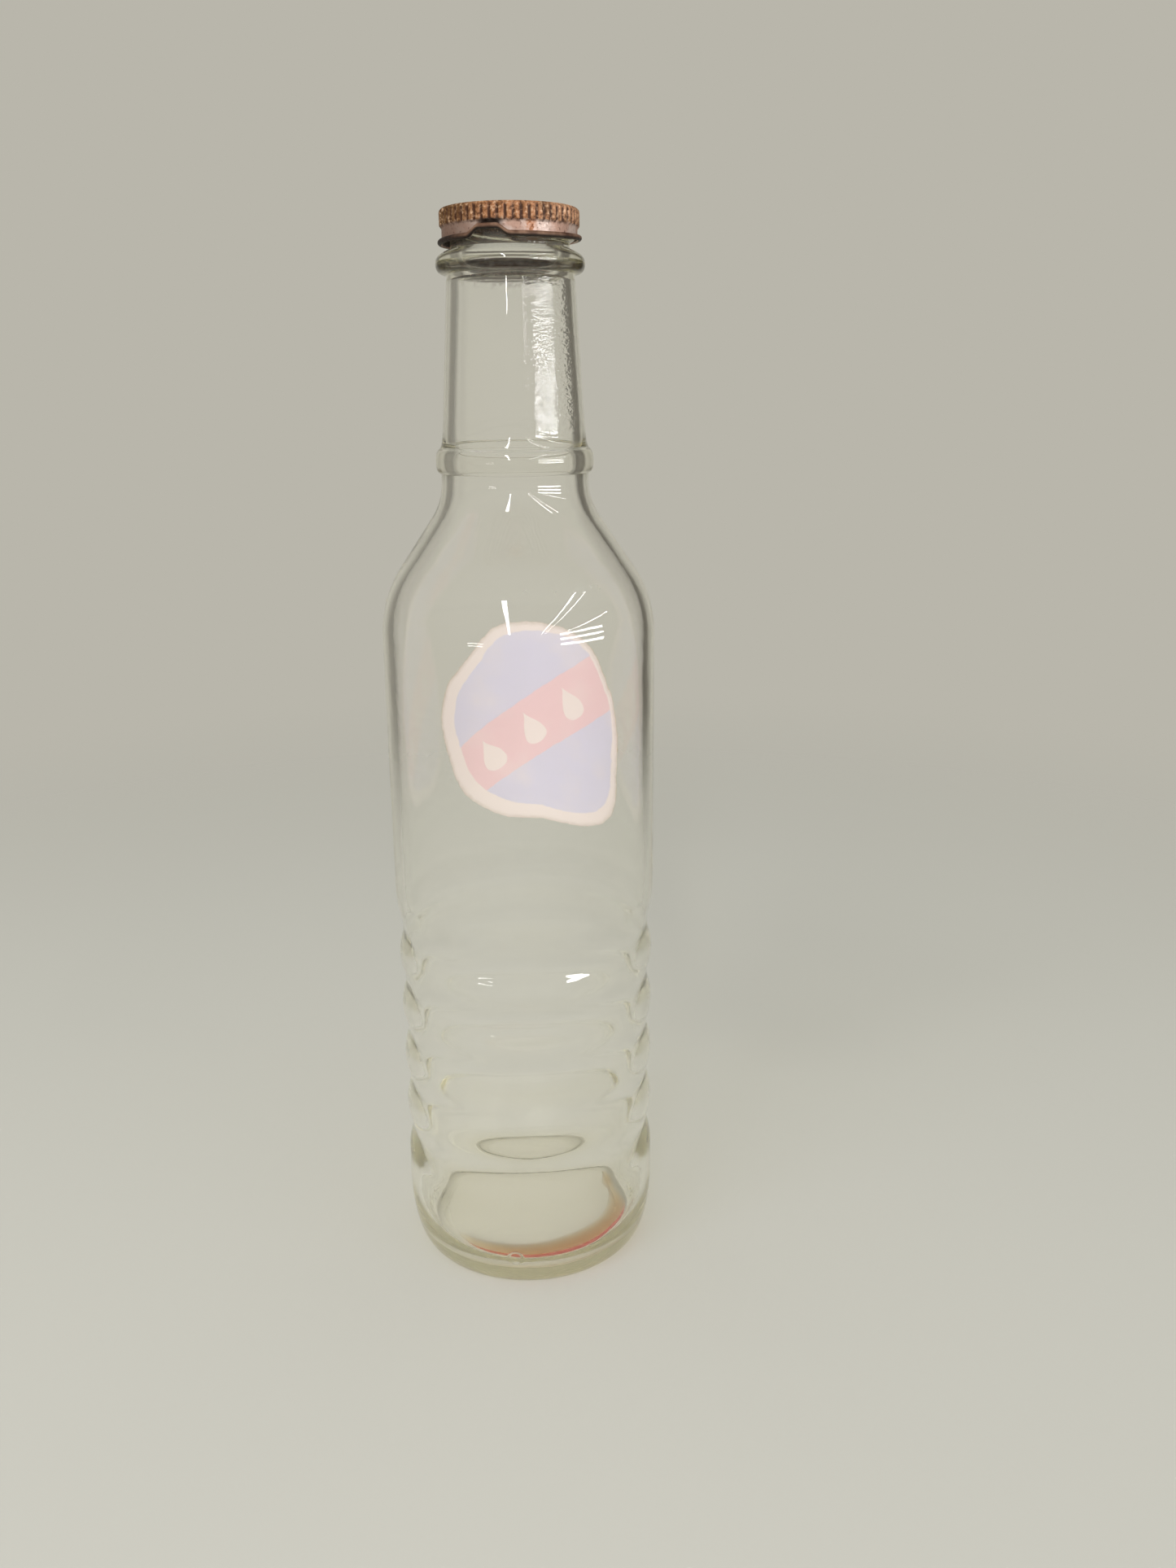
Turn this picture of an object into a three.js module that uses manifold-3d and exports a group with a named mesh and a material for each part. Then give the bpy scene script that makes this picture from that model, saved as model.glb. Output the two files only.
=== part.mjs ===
// A one-litre glass oil bottle with a tinplate screw cap. Millimetres, +Z up.
// The origin lies on the bottle's axis, in the plane that it stands on.
// The front faces -Y, and the label is on the back, at +Y.
import * as THREE from 'three';
import { mergeVertices } from 'three/addons/utils/BufferGeometryUtils.js';
import Module from 'manifold-3d';

const wasm = await Module();
wasm.setup();

// Foot and heel of the glass, set in from the body
const FOOT_INSET = 0.25;
const BEARING_INSET = 4.6;
const BEARING_WIDTH = 5;
const PUSH_UP = 3.6;
const HEEL_HEIGHT = 20;
const HEEL_FULLNESS = 7;
const INNER_HEEL_FULLNESS = 3.5;
const HEEL_TURN = 1.6;
const FOOT_BAND_HEIGHT = 10;
const FOOT_LEAD_HEIGHT = 9.4;

// Rounded ribs between the ring grooves of the lower wall
const GROOVE_COUNT = 5;
const RIB_PITCH = 17.6;
const GROOVE_DEPTH = 1.5;
const INNER_GROOVE_DEPTH = 0.7;
const WAIST_HEIGHT = 15;
const WAIST_FULLNESS = 5;

// Label panel and shoulder
const BODY_RADIUS = 40.85;
const PANEL_HEIGHT = 77.5;
const SHOULDER_ANGLE = THREE.MathUtils.degToRad(34.4);
const SHOULDER_BEND = 36;
const NECK_FOOT_BEND = 18;
const NECK_FOOT_RADIUS = 21.5;
const NECK_FOOT_HEIGHT = 2.3;

// Neck, from its ring to the parting line under the collar
const NECK_RING_HEIGHT = 6.8;
const NECK_RING_STANDOUT = 1.4;
const NECK_RING_SETBACK = 0.6;
const NECK_UPPER_RADIUS = 18.2;
const NECK_LENGTH = 45.4;
const PARTING_STEP = 0.25;
const PARTING_HEIGHT = 1.6;

// Collar bead and screw finish
const COLLAR_STANDOUT = 4.2;
const COLLAR_HEIGHT = 6.7;
const COLLAR_WIDEST = 2.7;
const COLLAR_CROWN = 2.7;
const COLLAR_RUNOUT = 1;
const FINISH_RADIUS = 16.7;
const FINISH_HEIGHT = 7.9;
const LIP_CHAMFER = 0.7;
const FINISH_WALL = 3.4;

// Glass thickness
const WALL = 3;
const BASE_THICKNESS = 4.2;
const FLOOR_CROWN = 3.2;
const FLOOR_CORNER_INSET = 8.6;

// Closure: sealing disc and its facing, then the cap
const SEAT_GAP = 0.05;
const FACING_THICKNESS = 0.25;
const WAD_THICKNESS = 1.7;
const WAD_CLEARANCE = 0.3;
const TINPLATE = 0.3;
const THREAD_ROOM = 1.9;
const KNURL_STEP = 0.6;
const KNURL_HEIGHT = 5.2;
const KNURL_RUNOUT = 0.6;
const FLUTE_COUNT = 56;
const FLUTE_DEPTH = 0.45;
const CAP_EDGE_ROUND = 1.1;
const RIM_CLEARANCE = 1.4;
const CURL_RADIUS = 0.6;
const CURL_SWEEP = THREE.MathUtils.degToRad(270);

// Where the rim was prised up, measured from the front towards -X, with the droop and the raised side by it
const PRY_ANGLE = THREE.MathUtils.degToRad(17.9);
const PRY_FLAT = THREE.MathUtils.degToRad(7);
const PRY_REACH = THREE.MathUtils.degToRad(18.5);
const PRY_LIFT = 1.9;
const DROOP_ANGLE = THREE.MathUtils.degToRad(90);
const DROOP = 0.5;
const RAISED_ANGLE = THREE.MathUtils.degToRad(-115);
const RAISED = 0.8;

// Label: a hand-cut sheet, outlined flat about its own middle (along the wall towards +X, and up)
const LABEL_OUTLINE = [
  [-6, 35.9], [-12.5, 34.2], [-16.5, 30.9], [-20.8, 26.2], [-26, 21.7], [-31, 16.9], [-33.9, 10.4], [-34.9, 3],
  [-32.5, -6.3], [-28.8, -16.5], [-24.1, -23.4], [-16.8, -28.7], [-9.5, -31.9], [3.7, -33], [12.5, -34.4],
  [21, -34], [29.2, -31], [34.4, -24.5], [36.2, -8], [36, 3], [34.2, 10.6], [29.9, 18.2], [24.8, 26.6], [12, 34.2],
];
const LABEL_MARGIN = 2.85;
const LABEL_OFFSET = 3.7;
const LABEL_THICKNESS = 0.2;
const LABEL_GAP = 0.3;

// Oil left in the corner of the floor, deepest at the front right, at an angle from +X
const OIL_DEPTH = 1.4;
const OIL_SLOPE = THREE.MathUtils.degToRad(3);
const OIL_ANGLE = THREE.MathUtils.degToRad(-62);
const OIL_GAP = 0.3;

// Facets, and how near two vertices are joined
const GLASS_SEGMENTS = 40;
const OUTER_STEPS = 3;
const INNER_STEPS = 2;
const FLOOR_STEPS = 4;
const DISC_SEGMENTS = 48;
const CURL_STEPS = 6;
const LABEL_SPOKES = 44;
const LABEL_RINGS = 6;
const WELD = 1e-4;

// Heights that follow from the sizes above
const footTop = HEEL_HEIGHT + FOOT_BAND_HEIGHT;
const firstGroove = footTop + FOOT_LEAD_HEIGHT;
const lastGroove = firstGroove + (GROOVE_COUNT - 1) * RIB_PITCH;
const panelBottom = lastGroove + WAIST_HEIGHT;
const panelTop = panelBottom + PANEL_HEIGHT;
const shoulderDrop = (SHOULDER_BEND + NECK_FOOT_BEND) * (1 - Math.cos(SHOULDER_ANGLE));
const shoulderSlant = (BODY_RADIUS - NECK_FOOT_RADIUS - shoulderDrop) / Math.sin(SHOULDER_ANGLE);
const shoulderHeight = (SHOULDER_BEND + NECK_FOOT_BEND) * Math.sin(SHOULDER_ANGLE)
  + shoulderSlant * Math.cos(SHOULDER_ANGLE);
const neckFoot = panelTop + shoulderHeight;
const ringBottom = neckFoot + NECK_FOOT_HEIGHT;
const ringTop = ringBottom + NECK_RING_HEIGHT;
const parting = ringTop + NECK_LENGTH;
const collarBottom = parting + PARTING_HEIGHT;
const collarTop = collarBottom + COLLAR_HEIGHT;
const mouth = collarTop + FINISH_HEIGHT;
const floorCorner = BASE_THICKNESS;
const floorCentre = floorCorner + FLOOR_CROWN;

// Radii of the glass
const footRadius = BODY_RADIUS - FOOT_INSET;
const footInnerRadius = footRadius - WALL;
const bearingOuterRadius = footRadius - BEARING_INSET;
const bearingInnerRadius = bearingOuterRadius - BEARING_WIDTH;
const floorCornerRadius = footInnerRadius - FLOOR_CORNER_INSET;
const neckRingRadius = NECK_FOOT_RADIUS + NECK_RING_STANDOUT;
const neckLowerRadius = NECK_FOOT_RADIUS - NECK_RING_SETBACK;
const collarRadius = FINISH_RADIUS + COLLAR_STANDOUT;
const boreRadius = FINISH_RADIUS - FINISH_WALL;

// Heights and radii of the closure, stacked on the mouth
const facingBottom = mouth + SEAT_GAP;
const wadBottom = facingBottom + FACING_THICKNESS + SEAT_GAP;
const capUnderside = wadBottom + WAD_THICKNESS + SEAT_GAP;
const capTop = capUnderside + TINPLATE;
const plainInnerRadius = FINISH_RADIUS + THREAD_ROOM;
const plainRadius = plainInnerRadius + TINPLATE;
const knurlRadius = plainRadius + KNURL_STEP;
const wadRadius = plainInnerRadius - WAD_CLEARANCE;

const point = (radius, height) => new THREE.Vector2(radius, height);

// Drops the attributes that split shared vertices, and joins the vertices that coincide.
function welded(geometry) {
  geometry.deleteAttribute('normal');
  geometry.deleteAttribute('uv');
  return mergeVertices(geometry, WELD);
}

// Turns a profile of radius and height about the Z axis.
function revolved(profile, segments) {
  const geometry = new THREE.LatheGeometry(profile, segments);
  return geometry.rotateX(Math.PI / 2);
}

function toSolid(geometry) {
  const merged = welded(geometry);
  return new wasm.Manifold(new wasm.Mesh({
    numProp: 3,
    vertProperties: merged.attributes.position.array,
    triVerts: new Uint32Array(merged.index.array),
  }));
}

function fromSolid(solid) {
  const { vertProperties, triVerts } = solid.getMesh();
  const geometry = new THREE.BufferGeometry();
  geometry.setAttribute('position', new THREE.BufferAttribute(vertProperties, 3));
  geometry.setIndex(new THREE.BufferAttribute(triVerts, 1));
  return geometry;
}

function part(name, geometry, look) {
  geometry.computeVertexNormals();
  const mesh = new THREE.Mesh(geometry, new THREE.MeshStandardMaterial(look));
  mesh.name = name;
  return mesh;
}

// Ribs from the foot band to the label panel: a lead into the first groove, whole ribs, then the waist.
function drawRibs(path, bandRadius, panelRadius, depth) {
  const grooveRadius = bandRadius - depth;
  path.lineTo(bandRadius, footTop);
  path.quadraticCurveTo(bandRadius, (footTop + firstGroove) / 2, grooveRadius, firstGroove);
  for (let rib = 0; rib < GROOVE_COUNT - 1; rib += 1) {
    const lower = firstGroove + rib * RIB_PITCH;
    path.quadraticCurveTo(grooveRadius + 2 * depth, lower + RIB_PITCH / 2, grooveRadius, lower + RIB_PITCH);
  }
  path.quadraticCurveTo(panelRadius, lastGroove + WAIST_FULLNESS, panelRadius, panelBottom);
  path.lineTo(panelRadius, panelTop);
}

// Shoulder: an outward bend, a straight slant and an inward bend, all moved in by the given inset.
function drawShoulder(path, inset) {
  const turn = SHOULDER_ANGLE;
  const upperBend = SHOULDER_BEND - inset;
  const lowerBend = NECK_FOOT_BEND + inset;
  path.absarc(BODY_RADIUS - SHOULDER_BEND, panelTop, upperBend, 0, turn, false);
  path.absarc(NECK_FOOT_RADIUS + NECK_FOOT_BEND, neckFoot, lowerBend, Math.PI + turn, Math.PI, true);
}

// The floor of the cavity from its crown to the side wall, moved into the cavity by the given gap.
function floorProfile(gap) {
  const corner = floorCornerRadius;
  const wallRadius = footInnerRadius - gap;
  const path = new THREE.Path();
  path.moveTo(0, floorCentre + gap);
  path.quadraticCurveTo(corner / 2, floorCentre + gap, corner, floorCorner + gap);
  path.bezierCurveTo((corner + wallRadius) / 2, floorCorner + gap,
    wallRadius, floorCorner + gap + INNER_HEEL_FULLNESS, wallRadius, HEEL_HEIGHT);
  return path.getPoints(FLOOR_STEPS);
}

function outerProfile() {
  const path = new THREE.Path();
  path.moveTo(0, PUSH_UP);
  path.quadraticCurveTo(bearingInnerRadius / 2, PUSH_UP, bearingInnerRadius, 0);
  path.lineTo(bearingOuterRadius, 0);
  path.bezierCurveTo(bearingOuterRadius + HEEL_TURN, 0,
    footRadius, HEEL_FULLNESS, footRadius, HEEL_HEIGHT);
  drawRibs(path, footRadius, BODY_RADIUS, GROOVE_DEPTH);
  drawShoulder(path, 0);
  path.lineTo(NECK_FOOT_RADIUS, ringBottom);
  const ringMiddle = (ringBottom + ringTop) / 2;
  path.quadraticCurveTo(neckRingRadius, ringBottom, neckRingRadius, ringMiddle);
  path.quadraticCurveTo(neckRingRadius, ringTop, neckLowerRadius, ringTop);
  path.lineTo(NECK_UPPER_RADIUS, parting);
  path.lineTo(NECK_UPPER_RADIUS - PARTING_STEP, parting);
  path.lineTo(NECK_UPPER_RADIUS - PARTING_STEP, collarBottom);
  const collarWidest = collarBottom + COLLAR_WIDEST;
  path.quadraticCurveTo(collarRadius, collarBottom, collarRadius, collarWidest);
  path.bezierCurveTo(collarRadius, collarWidest + COLLAR_CROWN,
    plainInnerRadius, collarTop - COLLAR_RUNOUT, FINISH_RADIUS, collarTop);
  path.lineTo(FINISH_RADIUS, mouth - LIP_CHAMFER);
  path.lineTo(FINISH_RADIUS - LIP_CHAMFER, mouth);
  return path.getPoints(OUTER_STEPS);
}

function innerProfile() {
  const path = new THREE.Path();
  path.moveTo(footInnerRadius, HEEL_HEIGHT);
  drawRibs(path, footInnerRadius, BODY_RADIUS - WALL, INNER_GROOVE_DEPTH);
  drawShoulder(path, WALL);
  path.lineTo(neckLowerRadius - WALL, ringTop);
  path.lineTo(NECK_UPPER_RADIUS - WALL, parting);
  path.quadraticCurveTo(boreRadius, collarBottom, boreRadius, collarTop);
  path.lineTo(boreRadius, mouth - LIP_CHAMFER);
  path.lineTo(boreRadius + LIP_CHAMFER, mouth);
  return [...floorProfile(0), ...path.getPoints(INNER_STEPS).slice(1)];
}

function glassBottle() {
  const profile = [...outerProfile(), ...innerProfile().reverse()];
  return part('glass_bottle', revolved(profile, GLASS_SEGMENTS), {
    color: 0xcdd3c2, roughness: 0.05, metalness: 0, transparent: true, opacity: 0.35,
  });
}

// A round disc with square edges, standing on the given height.
function disc(radius, bottom, thickness) {
  const top = bottom + thickness;
  return revolved([point(0, bottom), point(radius, bottom), point(radius, top), point(0, top)],
    DISC_SEGMENTS);
}

// How far the rim is lifted or drooped at an angle from the front, counted towards -X.
function rimLift(angle) {
  const fromPry = Math.abs(angle - PRY_ANGLE);
  const rise = 1 - THREE.MathUtils.smoothstep(fromPry, PRY_FLAT, PRY_REACH);
  const fromDroop = Math.max(0, Math.cos(angle - DROOP_ANGLE));
  const fromRaised = Math.max(0, Math.cos(angle - RAISED_ANGLE));
  return PRY_LIFT * rise - DROOP * fromDroop ** 2 * (1 - rise) + RAISED * fromRaised ** 2;
}

// Section of the cap's sheet, from the middle of the top, round the rolled rim and back inside.
// Each station says how much of the flute depth and of the rim's lift it takes.
function capSection() {
  const edgeBevel = CAP_EDGE_ROUND * (1 - Math.SQRT1_2);
  const knurlBottom = capTop - KNURL_HEIGHT;
  const rimHeight = collarTop + RIM_CLEARANCE + CURL_RADIUS + TINPLATE / 2;
  const rollRadius = plainRadius - TINPLATE / 2 + CURL_RADIUS;
  const stations = [];
  const add = (radius, height, flute, lift) => stations.push({ at: point(radius, height), flute, lift });
  const addWall = (inset, upward) => {
    const bevel = edgeBevel + inset * Math.SQRT1_2;
    const drop = [
      [knurlRadius - CAP_EDGE_ROUND, capTop - inset, 0],
      [knurlRadius - bevel, capTop - bevel, 0],
      [knurlRadius - inset, capTop - CAP_EDGE_ROUND, 1],
      [knurlRadius - inset, knurlBottom + KNURL_RUNOUT, 1],
      [plainRadius - inset, knurlBottom, 0],
    ];
    if (upward) drop.reverse();
    drop.forEach(([radius, height, flute]) => add(radius, height, flute, 0));
  };
  const addRoll = (sheetRadius, from, to) => {
    for (let step = 0; step <= CURL_STEPS; step += 1) {
      const turn = Math.PI + THREE.MathUtils.lerp(from, to, step / CURL_STEPS);
      add(rollRadius + sheetRadius * Math.cos(turn), rimHeight + sheetRadius * Math.sin(turn), 0, 1);
    }
  };
  add(0, capTop, 0, 0);
  addWall(0, false);
  addRoll(CURL_RADIUS - TINPLATE / 2, 0, CURL_SWEEP);
  addRoll(CURL_RADIUS + TINPLATE / 2, CURL_SWEEP, 0);
  addWall(TINPLATE, true);
  add(0, capUnderside, 0, 0);
  return stations.reverse();
}

// The cap is turned from its section, then the flutes are pressed in and the rim is bent.
function capShell() {
  const stations = capSection();
  const segments = 2 * FLUTE_COUNT;
  const geometry = revolved(stations.map((station) => station.at), segments);
  const position = geometry.attributes.position;
  for (let i = 0; i < position.count; i += 1) {
    const { flute, lift } = stations[i % stations.length];
    const column = Math.floor(i / stations.length);
    const x = position.getX(i);
    const y = position.getY(i);
    const radius = Math.hypot(x, y);
    const pressed = radius > 0 ? 1 - (flute * FLUTE_DEPTH * (column % 2)) / radius : 1;
    position.setXY(i, x * pressed, y * pressed);
    position.setZ(i, position.getZ(i) + lift * rimLift(Math.atan2(-x, -y)));
  }
  return part('cap_shell', geometry, { color: 0x9a6a45, roughness: 0.6, metalness: 0.7 });
}

// The label fits the panel with a margin. It is a fan of rings about its middle, bent round the wall.
function label() {
  const reach = Math.max(...LABEL_OUTLINE.map(([, up]) => Math.abs(up)));
  const fit = (PANEL_HEIGHT / 2 - LABEL_MARGIN) / reach;
  const outline = new THREE.CatmullRomCurve3(
    LABEL_OUTLINE.map(([along, up]) => new THREE.Vector3(along * fit, up * fit, 0)), true, 'centripetal');
  const edge = outline.getSpacedPoints(LABEL_SPOKES).slice(0, LABEL_SPOKES);
  const middle = (panelBottom + panelTop) / 2;
  const positions = [];
  const index = [];
  const innerRadius = BODY_RADIUS + LABEL_GAP;
  const addVertex = (along, up, radius) => {
    const angle = (along + LABEL_OFFSET) / BODY_RADIUS;
    positions.push(radius * Math.sin(angle), radius * Math.cos(angle), middle + up);
  };
  const sheetSize = 1 + LABEL_RINGS * LABEL_SPOKES;
  const vertex = (sheet, ring, spoke) => sheet * sheetSize
    + (ring === 0 ? 0 : 1 + (ring - 1) * LABEL_SPOKES + (spoke % LABEL_SPOKES));
  for (const radius of [innerRadius, innerRadius + LABEL_THICKNESS]) {
    addVertex(0, 0, radius);
    for (let ring = 1; ring <= LABEL_RINGS; ring += 1) {
      edge.forEach(({ x, y }) => addVertex((x * ring) / LABEL_RINGS, (y * ring) / LABEL_RINGS, radius));
    }
  }
  for (let spoke = 0; spoke < LABEL_SPOKES; spoke += 1) {
    const next = spoke + 1;
    for (let ring = 0; ring < LABEL_RINGS; ring += 1) {
      for (const sheet of [0, 1]) {
        const near = vertex(sheet, ring, spoke);
        const far = vertex(sheet, ring + 1, spoke);
        const farNext = vertex(sheet, ring + 1, next);
        const nearNext = vertex(sheet, ring, next);
        const faces = ring === 0 ? [[near, far, farNext]] : [[near, far, farNext], [near, farNext, nearNext]];
        faces.forEach(([a, b, c]) => index.push(...(sheet === 0 ? [a, b, c] : [a, c, b])));
      }
    }
    const rim = [0, 1].map((sheet) => [vertex(sheet, LABEL_RINGS, spoke), vertex(sheet, LABEL_RINGS, next)]);
    index.push(rim[0][0], rim[1][0], rim[1][1], rim[0][0], rim[1][1], rim[0][1]);
  }
  const geometry = new THREE.BufferGeometry();
  geometry.setAttribute('position', new THREE.Float32BufferAttribute(positions, 3));
  geometry.setIndex(index);
  return part('label', geometry, { color: 0xe9d8c6, roughness: 0.8, metalness: 0 });
}

// The cavity's corner, filled and then cut off by the oil's sloping surface.
function oilResidue() {
  const corner = [...floorProfile(OIL_GAP), point(0, HEEL_HEIGHT)];
  const fill = toSolid(revolved(corner, GLASS_SEGMENTS));
  const reach = 2 * footRadius;
  const below = new THREE.BoxGeometry(2 * reach, 2 * reach, reach);
  below.translate(0, 0, -reach / 2);
  below.rotateY(-OIL_SLOPE);
  below.rotateZ(OIL_ANGLE);
  below.translate(0, 0, floorCorner + OIL_GAP + OIL_DEPTH - floorCornerRadius * Math.tan(OIL_SLOPE));
  return part('oil_residue', fromSolid(fill.intersect(toSolid(below))), {
    color: 0xb4431c, roughness: 0.1, metalness: 0,
  });
}

const bottle = new THREE.Group();
bottle.add(glassBottle(), label(), oilResidue());

const closure = new THREE.Group();
closure.add(
  part('wad_facing', disc(wadRadius, facingBottom, FACING_THICKNESS),
    { color: 0xd8c9a8, roughness: 0.7, metalness: 0 }),
  part('cork_wad', disc(wadRadius, wadBottom, WAD_THICKNESS),
    { color: 0xb48a5a, roughness: 0.9, metalness: 0 }),
  capShell(),
);

const oilBottle = new THREE.Group();
oilBottle.add(bottle, closure);

export default oilBottle;
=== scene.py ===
"""Looks of a one-litre glass oil bottle with a rusted tinplate screw cap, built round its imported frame."""

import logging
import math
from dataclasses import dataclass, field
from enum import Enum
from typing import Any

import bmesh
import bpy
import numpy as np
from mathutils import Euler, Matrix, Vector


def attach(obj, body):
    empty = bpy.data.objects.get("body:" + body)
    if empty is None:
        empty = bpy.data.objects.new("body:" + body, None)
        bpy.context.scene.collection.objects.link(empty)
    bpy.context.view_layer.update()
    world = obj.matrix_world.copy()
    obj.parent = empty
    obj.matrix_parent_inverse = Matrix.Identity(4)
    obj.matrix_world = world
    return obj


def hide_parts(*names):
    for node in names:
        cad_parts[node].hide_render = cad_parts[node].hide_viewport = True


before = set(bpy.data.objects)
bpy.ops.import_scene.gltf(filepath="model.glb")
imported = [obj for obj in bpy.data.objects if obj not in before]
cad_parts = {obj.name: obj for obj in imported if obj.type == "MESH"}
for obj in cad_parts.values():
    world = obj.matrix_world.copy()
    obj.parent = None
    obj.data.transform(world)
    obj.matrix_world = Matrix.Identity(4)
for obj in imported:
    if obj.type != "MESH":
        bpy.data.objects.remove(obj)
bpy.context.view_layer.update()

Tree = bpy.types.NodeTree
Node = bpy.types.Node
Socket = bpy.types.NodeSocket
Piece = bpy.types.Object
Material = bpy.types.Material
Colour = tuple[float, float, float, float]
Place = tuple[float, float, float]
Point = tuple[float, float]
Span = tuple[float, float]

MM = 0.001
THREAD_LEAD = 4.2333
SHEET_SPAN = 80.0
ACROSS = (1.0, 1.0, 0.0)

VECTOR = "ShaderNodeVectorMath"
RAMP = "ShaderNodeMapRange"
MIX = "ShaderNodeMix"
NOISE = "ShaderNodeTexNoise"
PLACE = "ShaderNodeTexCoord"
SPLIT = "ShaderNodeSeparateXYZ"
JOIN = "ShaderNodeCombineXYZ"
BUMP = "ShaderNodeBump"
SURFACE = "ShaderNodeBsdfPrincipled"

log = logging.getLogger("oil_bottle")


class Op(Enum):
    """The sums that a Math node does here, by the node's own names for them."""

    ABSOLUTE = "ABSOLUTE"
    ADD = "ADD"
    ARCTAN2 = "ARCTAN2"
    COSINE = "COSINE"
    DIVIDE = "DIVIDE"
    FLOOR = "FLOOR"
    GREATER_THAN = "GREATER_THAN"
    LESS_THAN = "LESS_THAN"
    MAXIMUM = "MAXIMUM"
    MINIMUM = "MINIMUM"
    MODULO = "MODULO"
    MULTIPLY = "MULTIPLY"
    MULTIPLY_ADD = "MULTIPLY_ADD"
    POWER = "POWER"
    ROUND = "ROUND"
    SINE = "SINE"
    SUBTRACT = "SUBTRACT"


def linear(code: str) -> Colour:
    """Turns an sRGB hex colour into linear light.

    Args:
        code: the colour, such as "#c9cfc8".

    Returns:
        Red, green, blue and a full alpha.
    """
    parts = [int(code[start:start + 2], 16) / 255 for start in (1, 3, 5)]
    red, green, blue = [part / 12.92 if part <= 0.04045 else ((part + 0.055) / 1.055) ** 2.4
                        for part in parts]
    return red, green, blue, 1.0


def per_mm(size: float) -> float:
    """Texture scale that makes a pattern's cell this many millimetres wide."""
    return 1.0 / (size * MM)


def metres(*lengths: float) -> tuple[float, ...]:
    """Turns millimetres into metres."""
    return tuple(length * MM for length in lengths)


def put(tree: Tree, kind: str | Op, feeds: dict | None = None, **settings: Any) -> Node:
    """Adds a node, sets it and feeds its inputs.

    Args:
        tree: the tree that takes the node.
        kind: the node's type, or the sum of a Math node.
        feeds: by an input's name or place, a node (its first live output), a socket or a plain value.
        settings: the node's own properties.

    Returns:
        The new node.
    """
    if isinstance(kind, Op):
        kind, settings = "ShaderNodeMath", {"operation": kind.value}
    node = tree.nodes.new(kind)
    for key, value in settings.items():
        setattr(node, key, value)
    for key, value in (feeds or {}).items():
        named = [socket for socket in node.inputs if socket.name == key and socket.enabled]
        socket = node.inputs[key] if isinstance(key, int) else named[0]
        if isinstance(value, Node):
            value = next(output for output in value.outputs if output.enabled)
        if isinstance(value, Socket):
            tree.links.new(value, socket)
        else:
            socket.default_value = value
    return node


def from_axis(tree: Tree, at: Socket) -> Socket:
    """Measures how far a place is from the upright axis.

    Args:
        tree: the tree that takes the nodes.
        at: the place.

    Returns:
        The distance in metres.
    """
    flat = put(tree, VECTOR, {0: at, 1: ACROSS}, operation="MULTIPLY")
    return put(tree, VECTOR, {0: flat}, operation="LENGTH").outputs["Value"]


def away(tree: Tree, value: Any, middle: Any) -> Node:
    """Measures how far a value is from a middle, to either side.

    Args:
        tree: the tree that takes the nodes.
        value: the value.
        middle: what it is measured from.

    Returns:
        The distance.
    """
    off = put(tree, Op.SUBTRACT, {0: value, 1: middle})
    return put(tree, Op.ABSOLUTE, {0: off})


def within(tree: Tree, mask: Any, *spans: tuple, easing: str = "LINEAR") -> Node:
    """Narrows a mask to where each value is past its start.

    Args:
        tree: the tree that takes the nodes.
        mask: the mask so far.
        spans: for each bound its value, where the mask starts and where it is full.
        easing: how the mask rises in between.

    Returns:
        The narrowed mask.
    """
    for value, start, full in spans:
        part = put(tree, RAMP, {"Value": value, "From Min": start, "From Max": full},
                   interpolation_type=easing)
        mask = put(tree, Op.MULTIPLY, {0: mask, 1: part})
    return mask


def stain(tree: Tree, colour: Any, *coats: tuple) -> Node:
    """Lays coats over a colour, each where its own value is past its start.

    Args:
        tree: the tree that takes the nodes.
        colour: the first colour.
        coats: for each coat its value, where it starts and is full, its strength there and its colour.

    Returns:
        The stained colour.
    """
    for value, start, full, most, code in coats:
        mask = put(tree, RAMP, {"Value": value, "From Min": start, "From Max": full, "To Max": most})
        colour = put(tree, MIX, {"Factor": mask, "A": colour, "B": linear(code)}, data_type="RGBA")
    return colour


def show(name: str, mesh: bpy.types.Mesh, corner: float = 40.0) -> Piece:
    """Puts a finished mesh in the scene with its faces outwards and its corners sharp.

    Args:
        name: the piece's name.
        mesh: its mesh, already in place.
        corner: the angle in degrees from which an edge is kept sharp.

    Returns:
        The piece, at the origin.
    """
    shell = bmesh.new()
    shell.from_mesh(mesh)
    bmesh.ops.remove_doubles(shell, verts=shell.verts, dist=1e-7)
    bmesh.ops.recalc_face_normals(shell, faces=shell.faces)
    shell.to_mesh(mesh)
    shell.free()
    mesh.shade_smooth()
    mesh.set_sharp_from_angle(angle=math.radians(corner))
    mesh.name = name
    piece = bpy.data.objects.new(name, mesh)
    bpy.context.scene.collection.objects.link(piece)
    return piece


class Finish:
    """A surface finish, which draws its own nodes."""

    name: str

    def draw(self, tree: Tree) -> dict[str, Node]:
        """Fills the tree and gives the shaders for the material's output, by input name."""
        raise NotImplementedError

    def material(self) -> Material:
        """Makes the material that carries this finish.

        Returns:
            The new material.
        """
        material = bpy.data.materials.new(self.name)
        material.use_nodes = True
        tree = material.node_tree
        tree.nodes.clear()
        put(tree, "ShaderNodeOutputMaterial", self.draw(tree))
        return material


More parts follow.
